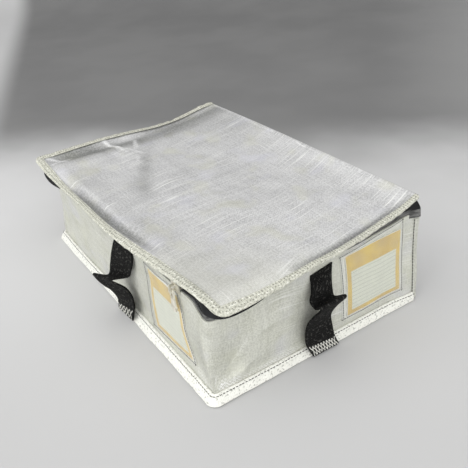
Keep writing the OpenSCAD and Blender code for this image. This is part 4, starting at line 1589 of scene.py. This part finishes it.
        binding = tube("lid_edge_tape", np.stack([tape_at(out, z) for out, z in section], 1))
        kit.place(binding, "lid", kit.finish.binding, "binding", ["lid_binding"])
        rows = [(tape_at(out, z), np.array([0.0, 0.0, 1.0])) for out, z in ((1.5, 90.85), (4.6, 90.8))]
        kit.sew("lid_edge_stitches", rows, Repeat(2.3, 0.7, 1.7, 0.45, 0.35), kit.finish.grey_thread,
                "lid", "binding")


@dataclass
class Zip:
    """Zip round three sides: two tapes, two rows of teeth, stops, slider and pull, in mm."""

    kit: Kit
    lid: Lid
    middle: float = -1.5
    tape_t: float = 0.8
    wall_tape_z: tuple[float, float] = (70.2, 79.6)
    lid_tape_z: tuple[float, float] = (83.6, 88.2)
    wall_row_z: float = 80.3
    lid_row_z: float = 83.1
    end_y: float = 86.0
    wall_tail: float = 12.5
    lid_tail: float = 12.5
    tail_out: float = 4.5
    cap: float = 0.6
    cap_to: float = 200.0
    free_cap: float = 9.0

    def build(self) -> None:
        """Makes every piece of the zip."""
        self._tapes()
        self._teeth()
        self._metal()

    def _row(self, s: np.ndarray, z: np.ndarray, out: float = 0.0) -> np.ndarray:
        """Place of a point of the zip, which follows the walls but rises less than they do along the front.

        Args:
            s: Distances along the walls.
            z: Plain heights.
            out: Distance out from the middle of the tape.

        Returns:
            Points in mm.
        """
        wall = self.kit.wall
        tail = self.tail_out * ease((np.abs(s) - wall.side_s(self.end_y)) / 12)
        cap = np.where(np.abs(s) < self.cap_to, self.cap, self.free_cap)
        return wall.at(s, z, self.middle + tail + out, cap)

    def _tapes(self) -> None:
        """Tape on the walls and tape on the lid."""
        kit, wall = self.kit, self.kit.wall
        end = wall.side_s(self.end_y + self.wall_tail)
        low_z, high_z = self.wall_tape_z
        ss, zz = np.meshgrid(spaced(-end, end, 2.4), spaced(low_z, high_z, 1.2), indexing="ij")
        free = ease((np.abs(ss) - wall.side_s(self.end_y - 2)) / 6)
        zz = zz + 0.3 * (high_z - zz) * free
        half = self.tape_t / 2
        uv = np.stack([ss, zz], -1)
        tape = thick_sheet("wall_side_tape", self._row(ss, zz, half), self._row(ss, zz, -half), uv)
        kit.place(tape, "bag", kit.finish.wall_tape, "zip_tape", ["wall_zip_tape"])
        t = np.linspace(0, 1, 9)
        end = wall.side_s(self.end_y + self.lid_tail)
        s = spaced(-end, end, 2.4)
        low_z, high_z = self.lid_tape_z
        low = self._row(s, low_z - 3.6 * ease((np.abs(s) - wall.side_s(self.end_y - 2)) / 6))
        high = self.lid.rim(wall.match(s, self.lid.edge), 0.4, high_z, 1.0)
        normal = wall.normal(s)
        slack = spline([(-170, 1.1), (-150, 1.1), (-140, 1.6), (-132, 5.2), (-122, 9.2), (-110, 10.8),
                        (-96, 10.8), (-84, 8.4), (-70, 1.4), (-56, 1.1), (100, 1.1), (128, 1.6), (140, 7.0),
                        (150, 11.0), (164, 11.6), (182, 9.6), (200, 4.0), (214, 1.1)], s)
        rows = [low + (high - low) * k + normal * (slack * math.sin(k * math.pi))[:, None] for k in t]
        mid = np.stack(rows, 1)
        uv = np.stack(np.meshgrid(s, t * 6, indexing="ij"), -1)
        shift = normal[:, None, :] * half
        tape = thick_sheet("lid_side_tape", mid + shift, mid - shift, uv)
        kit.place(tape, "lid", kit.finish.tape, "zip_tape", ["lid_zip_tape"])

    def _teeth(self) -> None:
        """Rows of coil teeth."""
        kit, wall = self.kit, self.kit.wall
        end = wall.side_s(self.end_y)
        s = spaced(-end, end, 2)
        for name, z, body, node in (("wall_side_coil", self.wall_row_z, "bag", "wall_zip_teeth"),
                                    ("lid_side_coil", self.lid_row_z, "lid", "lid_zip_teeth")):
            row = [(self._row(s, 0 * s + z), wall.normal(s))]
            kit.sew(name, row, Repeat(1.7, 1.35, 1.7, 2.1), kit.finish.coil, body, "zip_teeth", [node])

    def _metal(self) -> None:
        """Finish of the CAD slider, pull and stops, with their cast edges rounded."""
        finish = self.kit.finish
        for node, width, metal in (("zip_slider", 0.35, finish.metal), ("zip_pull", 0.3, finish.metal),
                                   ("zip_stops", 0.3, finish.dark_metal)):
            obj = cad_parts[node]
            obj.data.materials.clear()
            obj.data.materials.append(metal)
            soft = obj.modifiers.new("cast_edges", "BEVEL")
            soft.width, soft.segments, soft.limit_method = width * MM, 3, "ANGLE"
            obj.data.shade_smooth()
            LOG.info("node %s refinished", node)


@dataclass
class Strap:
    """Webbing handle sewn down at both ends, with its slack folded out, in mm."""

    kit: Kit
    side: Side
    centre_s: float
    upper: tuple[Edge, Edge]
    lower: tuple[Edge, Edge]
    tacks_from: float = 0.87
    tack_count: int = 10
    width: float = 25.0
    thick: float = 1.5
    rows_per_point: int = 9
    columns: int = 13

    def build(self) -> None:
        """Makes the two halves of the webbing and the tacks at its lower end."""
        kit, name = self.kit, self.side.value
        nodes = [f"{name}_strap", f"{name}_strap_ends"]
        top, top_out = self._surface(self.upper)
        half = self._ribbon(f"{name}_webbing_upper", top, top_out)
        kit.place(half, "", kit.finish.webbing, "webbing", nodes)
        self._spot(4.0, 64.5)
        self._spot(11.0, 55.2)
        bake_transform(half)
        low, low_out = self._surface(self.lower)
        half = self._ribbon(f"{name}_webbing_lower", low, low_out)
        kit.place(half, "", kit.finish.webbing, "webbing")
        self._spot(8.0, 29.8)
        self._spot(3.2, 19.0)
        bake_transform(half)
        self._tacks(low, low_out)

    def _spot(self, out: float, z: float) -> tuple[float, float, float]:
        """Point in front of the middle of the strap.

        Args:
            out: Distance out from the wall's plain plan.
            z: Height.

        Returns:
            The point in metres.
        """
        point, normal = self.kit.wall.plan(np.array(self.centre_s))
        flat = (point + normal * out) * MM
        return float(flat[0]), float(flat[1]), z * MM

    def _line(self, edge: Edge) -> np.ndarray:
        """Smooth line through the points of one edge.

        Args:
            edge: Points as place along the wall, distance out and height.

        Returns:
            Points in mm, with the same number of steps between each two given points.
        """
        given = np.array(edge)
        gaps = np.linalg.norm(np.diff(given, axis=0), axis=1) ** 0.5
        knots = np.concatenate([[0], np.cumsum(gaps)])
        steps = np.interp(spaced(0, len(given) - 1, 1 / self.rows_per_point), np.arange(len(given)), knots)
        along, out, z = (spline(list(zip(knots, column)), steps) for column in given.T)
        point, normal = self.kit.wall.plan(self.centre_s + along)
        return np.concatenate([point + normal * out[:, None], z[:, None]], -1)

    def _surface(self, edges: tuple[Edge, Edge]) -> tuple[np.ndarray, np.ndarray]:
        """Middle surface of one half, between its two edges.

        Args:
            edges: Left and right edge.

        Returns:
            Grid of points, and the direction out of the webbing at each.
        """
        left, right = (self._line(e)[:, None, :] for e in edges)
        across = np.linspace(0, 1, self.columns)[None, :, None]
        grid = left + (right - left) * across
        out = np.cross(np.gradient(grid, axis=1), np.gradient(grid, axis=0))
        return grid, -out / np.linalg.norm(out, axis=2, keepdims=True)

    def _ribbon(self, name: str, grid: np.ndarray, out: np.ndarray) -> bpy.types.Object:
        """One closed stretch of webbing.

        Args:
            name: Object name.
            grid: Middle surface.
            out: Direction out of it.

        Returns:
            The new object.
        """
        middle = grid[:, self.columns // 2]
        length = np.concatenate([[0], np.cumsum(np.linalg.norm(np.diff(middle, axis=0), axis=1))])
        across = np.linspace(0, self.width, self.columns)
        uv = np.stack(np.meshgrid(length, across, indexing="ij")[::-1], -1)
        return thick_sheet(name, grid + out * self.thick / 2, grid - out * self.thick / 2, uv)

    def _tacks(self, grid: np.ndarray, out: np.ndarray) -> None:
        """White tacks over the lower end: crossed zigzags.

        Args:
            grid: Middle surface of the lower half.
            out: Direction out of it.
        """
        kit = self.kit
        rows = []
        teeth = np.arange(self.tack_count)
        for low, high in ((0.985, self.tacks_from), (self.tacks_from, 0.985)):
            step = spaced(0, len(teeth) - 1, 0.1)
            along = np.interp(step, teeth, np.where(teeth % 2 == 0, low, high))
            across = np.interp(step, teeth, np.linspace(0.05, 0.95, len(teeth)))
            r, c = (along * (len(grid) - 1)).astype(int), across * (self.columns - 1)
            share = (along * (len(grid) - 1) - r)[:, None]
            c0 = np.minimum(c.astype(int), self.columns - 2)
            part = (c - c0)[:, None]

            def read(field: np.ndarray) -> np.ndarray:
                """Values of a grid between its points."""
                first = field[r, c0] * (1 - part) + field[r, c0 + 1] * part
                after = np.minimum(r + 1, len(grid) - 1)
                second = field[after, c0] * (1 - part) + field[after, c0 + 1] * part
                return first * (1 - share) + second * share

            face = kit.wall.normal(self.centre_s + 0 * across)
            side = np.sign(np.sum(read(out) * face, 1))[:, None]
            rows.append((read(grid) + side * read(out) * (self.thick / 2 + 0.15), face))
        kit.sew(f"{self.side.value}_webbing_tacks", rows, Repeat(1.5, 1.4, 0.85, 0.7, 0.5),
                kit.finish.white_thread, "bag", "webbing")


@dataclass
class CardPocket:
    """Clear film pocket sewn to a wall, with a ruled card in it, in mm."""

    kit: Kit
    side: Side
    corners: tuple[tuple[float, float], ...]
    card_across: tuple[float, float] = (0.085, 0.955)
    card_low: float = 0.035
    card_high: tuple[float, float] = (0.965, 0.875)
    size: float = 62.0

    def build(self) -> None:
        """Makes the film, the card and the stitches."""
        self._film()
        self._card()
        self._stitches()

    def spot(self, a: np.ndarray, b: np.ndarray) -> tuple[np.ndarray, np.ndarray]:
        """Place of a share across and up the pocket, which the slack wall pulls out of square.

        Args:
            a: Share across, from the left.
            b: Share up, from the bottom.

        Returns:
            Distance along the walls and height.
        """
        left_top, right_top, left_low, right_low = np.array(self.corners)
        low = left_low + (right_low - left_low) * np.asarray(a)[..., None]
        top = left_top + (right_top - left_top) * np.asarray(a)[..., None]
        place = low + (top - low) * np.asarray(b)[..., None]
        return place[..., 0], place[..., 1]

    def _film(self) -> None:
        """Film, loose over the card and flat along its seams."""
        kit, wall = self.kit, self.kit.wall
        a, b = np.meshgrid(np.linspace(0, 1, 37), np.linspace(0, 1, 37), indexing="ij")
        s, z = self.spot(a, b)
        inner = np.minimum(ease(np.minimum(a, 1 - a) / 0.12), ease(np.minimum(b, 1 - b) / 0.12))
        out = 0.65 + inner * (0.75 + 0.35 * ripples(s, 1.6 * z, 30, 81))
        uv = np.stack([a, b], -1) * self.size
        film = thick_sheet(f"{self.side.value}_film", wall.at(s, z, out), wall.at(s, z, out - 0.3), uv)
        kit.place(film, "bag", kit.finish.film, "clear_film", [f"{self.side.value}_pocket"])

    def _card(self) -> None:
        """Card behind the film."""
        kit, wall = self.kit, self.kit.wall
        a, b = np.meshgrid(np.linspace(0, 1, 31), np.linspace(0, 1, 31), indexing="ij")
        high = self.card_high[0] + (self.card_high[1] - self.card_high[0]) * a
        across = self.card_across[0] + (self.card_across[1] - self.card_across[0]) * a
        s, z = self.spot(across, self.card_low + (high - self.card_low) * b)
        uv = np.stack([a * CARD_SIZE[0], b * CARD_SIZE[1]], -1)
        card = thick_sheet(f"{self.side.value}_ruled_card", wall.at(s, z, 0.55), wall.at(s, z, 0.2), uv)
        kit.place(card, "bag", kit.finish.card, "card", [f"{self.side.value}_card"])

    def _stitches(self) -> None:
        """Row of dark stitches round the pocket."""
        kit, wall = self.kit, self.kit.wall
        share = np.linspace(0.01, 0.99, 33)
        rows = []
        for a, b in ((0.015 + 0 * share, share), (0.985 + 0 * share, share), (share, 0.015 + 0 * share),
                     (share, 0.985 + 0 * share)):
            s, z = self.spot(a, b)
            rows.append((wall.at(s, z, 0.85), wall.normal(s)))
        kit.sew(f"{self.side.value}_pocket_stitches", rows, Repeat(2.3, 2.2, 0.5, 0.4, 0.06),
                kit.finish.dark_thread, "bag", "clear_film")


@dataclass(frozen=True)
class Photo:
    """Camera, light and backdrop of the photo, in metres."""

    camera: tuple[float, float, float] = (0.4407, -0.24266, 0.34251)
    right: tuple[float, float, float] = (0.55072, 0.83082, -0.08025)
    up: tuple[float, float, float] = (-0.40208, 0.34831, 0.84677)
    back: tuple[float, float, float] = (0.73146, -0.43406, 0.52588)
    lens: float = 50.145
    floor_away: tuple[float, float] = (-0.725, 0.689)
    floor_reach: float = 9.0
    bend_from: float = 0.95
    bend_r: float = 0.5
    backdrop_top: float = 2.2

    def build(self) -> None:
        """Makes the camera, the lights and the floor."""
        self._camera()
        self._lights()
        self._floor()

    def _camera(self) -> None:
        """Camera solved from the photo's corners."""
        data = bpy.data.cameras.new("camera")
        data.lens, data.sensor_width, data.clip_start, data.clip_end = self.lens, 36.0, 0.01, 50.0
        camera = bpy.data.objects.new("camera", data)
        bpy.context.scene.collection.objects.link(camera)
        turn = Matrix((self.right, self.up, self.back)).transposed()
        camera.matrix_world = Matrix.Translation(Vector(self.camera)) @ turn.to_4x4()
        bpy.context.scene.camera = camera

    def _lights(self) -> None:
        """Soft light from above with a gentle fill, and a pale surround."""
        for name, place, aim, size, power in (
            ("soft_top", (-0.3, 0.1, 1.4), (0.0, 0.0, 0.05), 1.6, 2.0),
            ("soft_front", (0.0, -1.3, 0.8), (0.0, 0.0, 0.05), 1.4, 9.2),
            ("soft_side", (1.2, -0.3, 0.6), (0.0, 0.0, 0.03), 1.2, 5.0),
        ):
            data = bpy.data.lights.new(name, "AREA")
            data.shape, data.size, data.energy = "SQUARE", size, power
            light = bpy.data.objects.new(name, data)
            bpy.context.scene.collection.objects.link(light)
            aim_at = (Vector(aim) - Vector(place)).to_track_quat("-Z", "Y")
            light.matrix_world = Matrix.Translation(Vector(place)) @ aim_at.to_matrix().to_4x4()
        world = bpy.data.worlds.new("pale_room")
        world.use_nodes = True
        sky = world.node_tree.nodes["Background"]
        sky.inputs["Color"].default_value = srgb("#f5f5f5")
        sky.inputs["Strength"].default_value = 1.1
        bpy.context.scene.world = world
        bpy.context.scene.view_settings.view_transform = "Standard"

    def _floor(self) -> None:
        """Backdrop cloth: a level floor that curves up behind the bag."""
        away = np.array(self.floor_away)
        side = np.array([away[1], -away[0]])
        t = np.linspace(0, math.pi / 2, 13)
        reach, r = self.floor_reach, self.bend_r
        bend = [(self.bend_from + r * math.sin(a), r - r * math.cos(a)) for a in t]
        run = [(-reach, 0.0)] + bend + [(self.bend_from + r, self.backdrop_top)]
        mesh = bpy.data.meshes.new("backdrop")
        verts = [(w, d, h) for d, h in run for w in (-reach, reach)]
        faces = [(2 * i, 2 * i + 1, 2 * i + 3, 2 * i + 2) for i in range(len(run) - 1)]
        mesh.from_pydata(verts, [], faces)
        mesh.shade_smooth()
        floor = bpy.data.objects.new("backdrop", mesh)
        bpy.context.scene.collection.objects.link(floor)
        floor.matrix_world = Matrix(((side[0], away[0], 0, 0), (side[1], away[1], 0, 0),
                                     (0, 0, 1, -0.0004), (0, 0, 0, 1)))
        floor.data.materials.append(Backdrop().build())


def main() -> None:
    """Builds the bag round the frame."""
    logging.basicConfig(level=logging.INFO, format="%(name)s %(message)s")
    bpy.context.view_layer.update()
    Photo().build()
    kit = Kit()
    Shell(kit).build()
    lid = Lid(kit)
    lid.build()
    Zip(kit, lid).build()
    wall = kit.wall
    Strap(kit, Side.FRONT, 15.0, FRONT_UPPER, FRONT_LOWER, 0.82, 6).build()
    Strap(kit, Side.RIGHT, wall.side_s(0.0), SIDE_UPPER, SIDE_LOWER).build()
    Strap(kit, Side.LEFT, -wall.side_s(0.0), SIDE_UPPER, SIDE_LOWER).build()
    CardPocket(kit, Side.FRONT, ((55.6, 73.0), (110.0, 74.0), (49.0, 11.0), (115.5, 17.0)), (0.10, 0.955),
               card_high=(0.95, 0.92)).build()
    for side, middle in ((Side.RIGHT, wall.side_s(52.5)), (Side.LEFT, -wall.side_s(-52.5))):
        low_left, low_right, left, right = (middle + a for a in (-29.5, 32.2, -34.2, 30.3))
        CardPocket(kit, side, ((left, 74.0), (right, 76.5), (low_left, 15.5), (low_right, 15.5))).build()


if __name__ == "__main__":
    main()
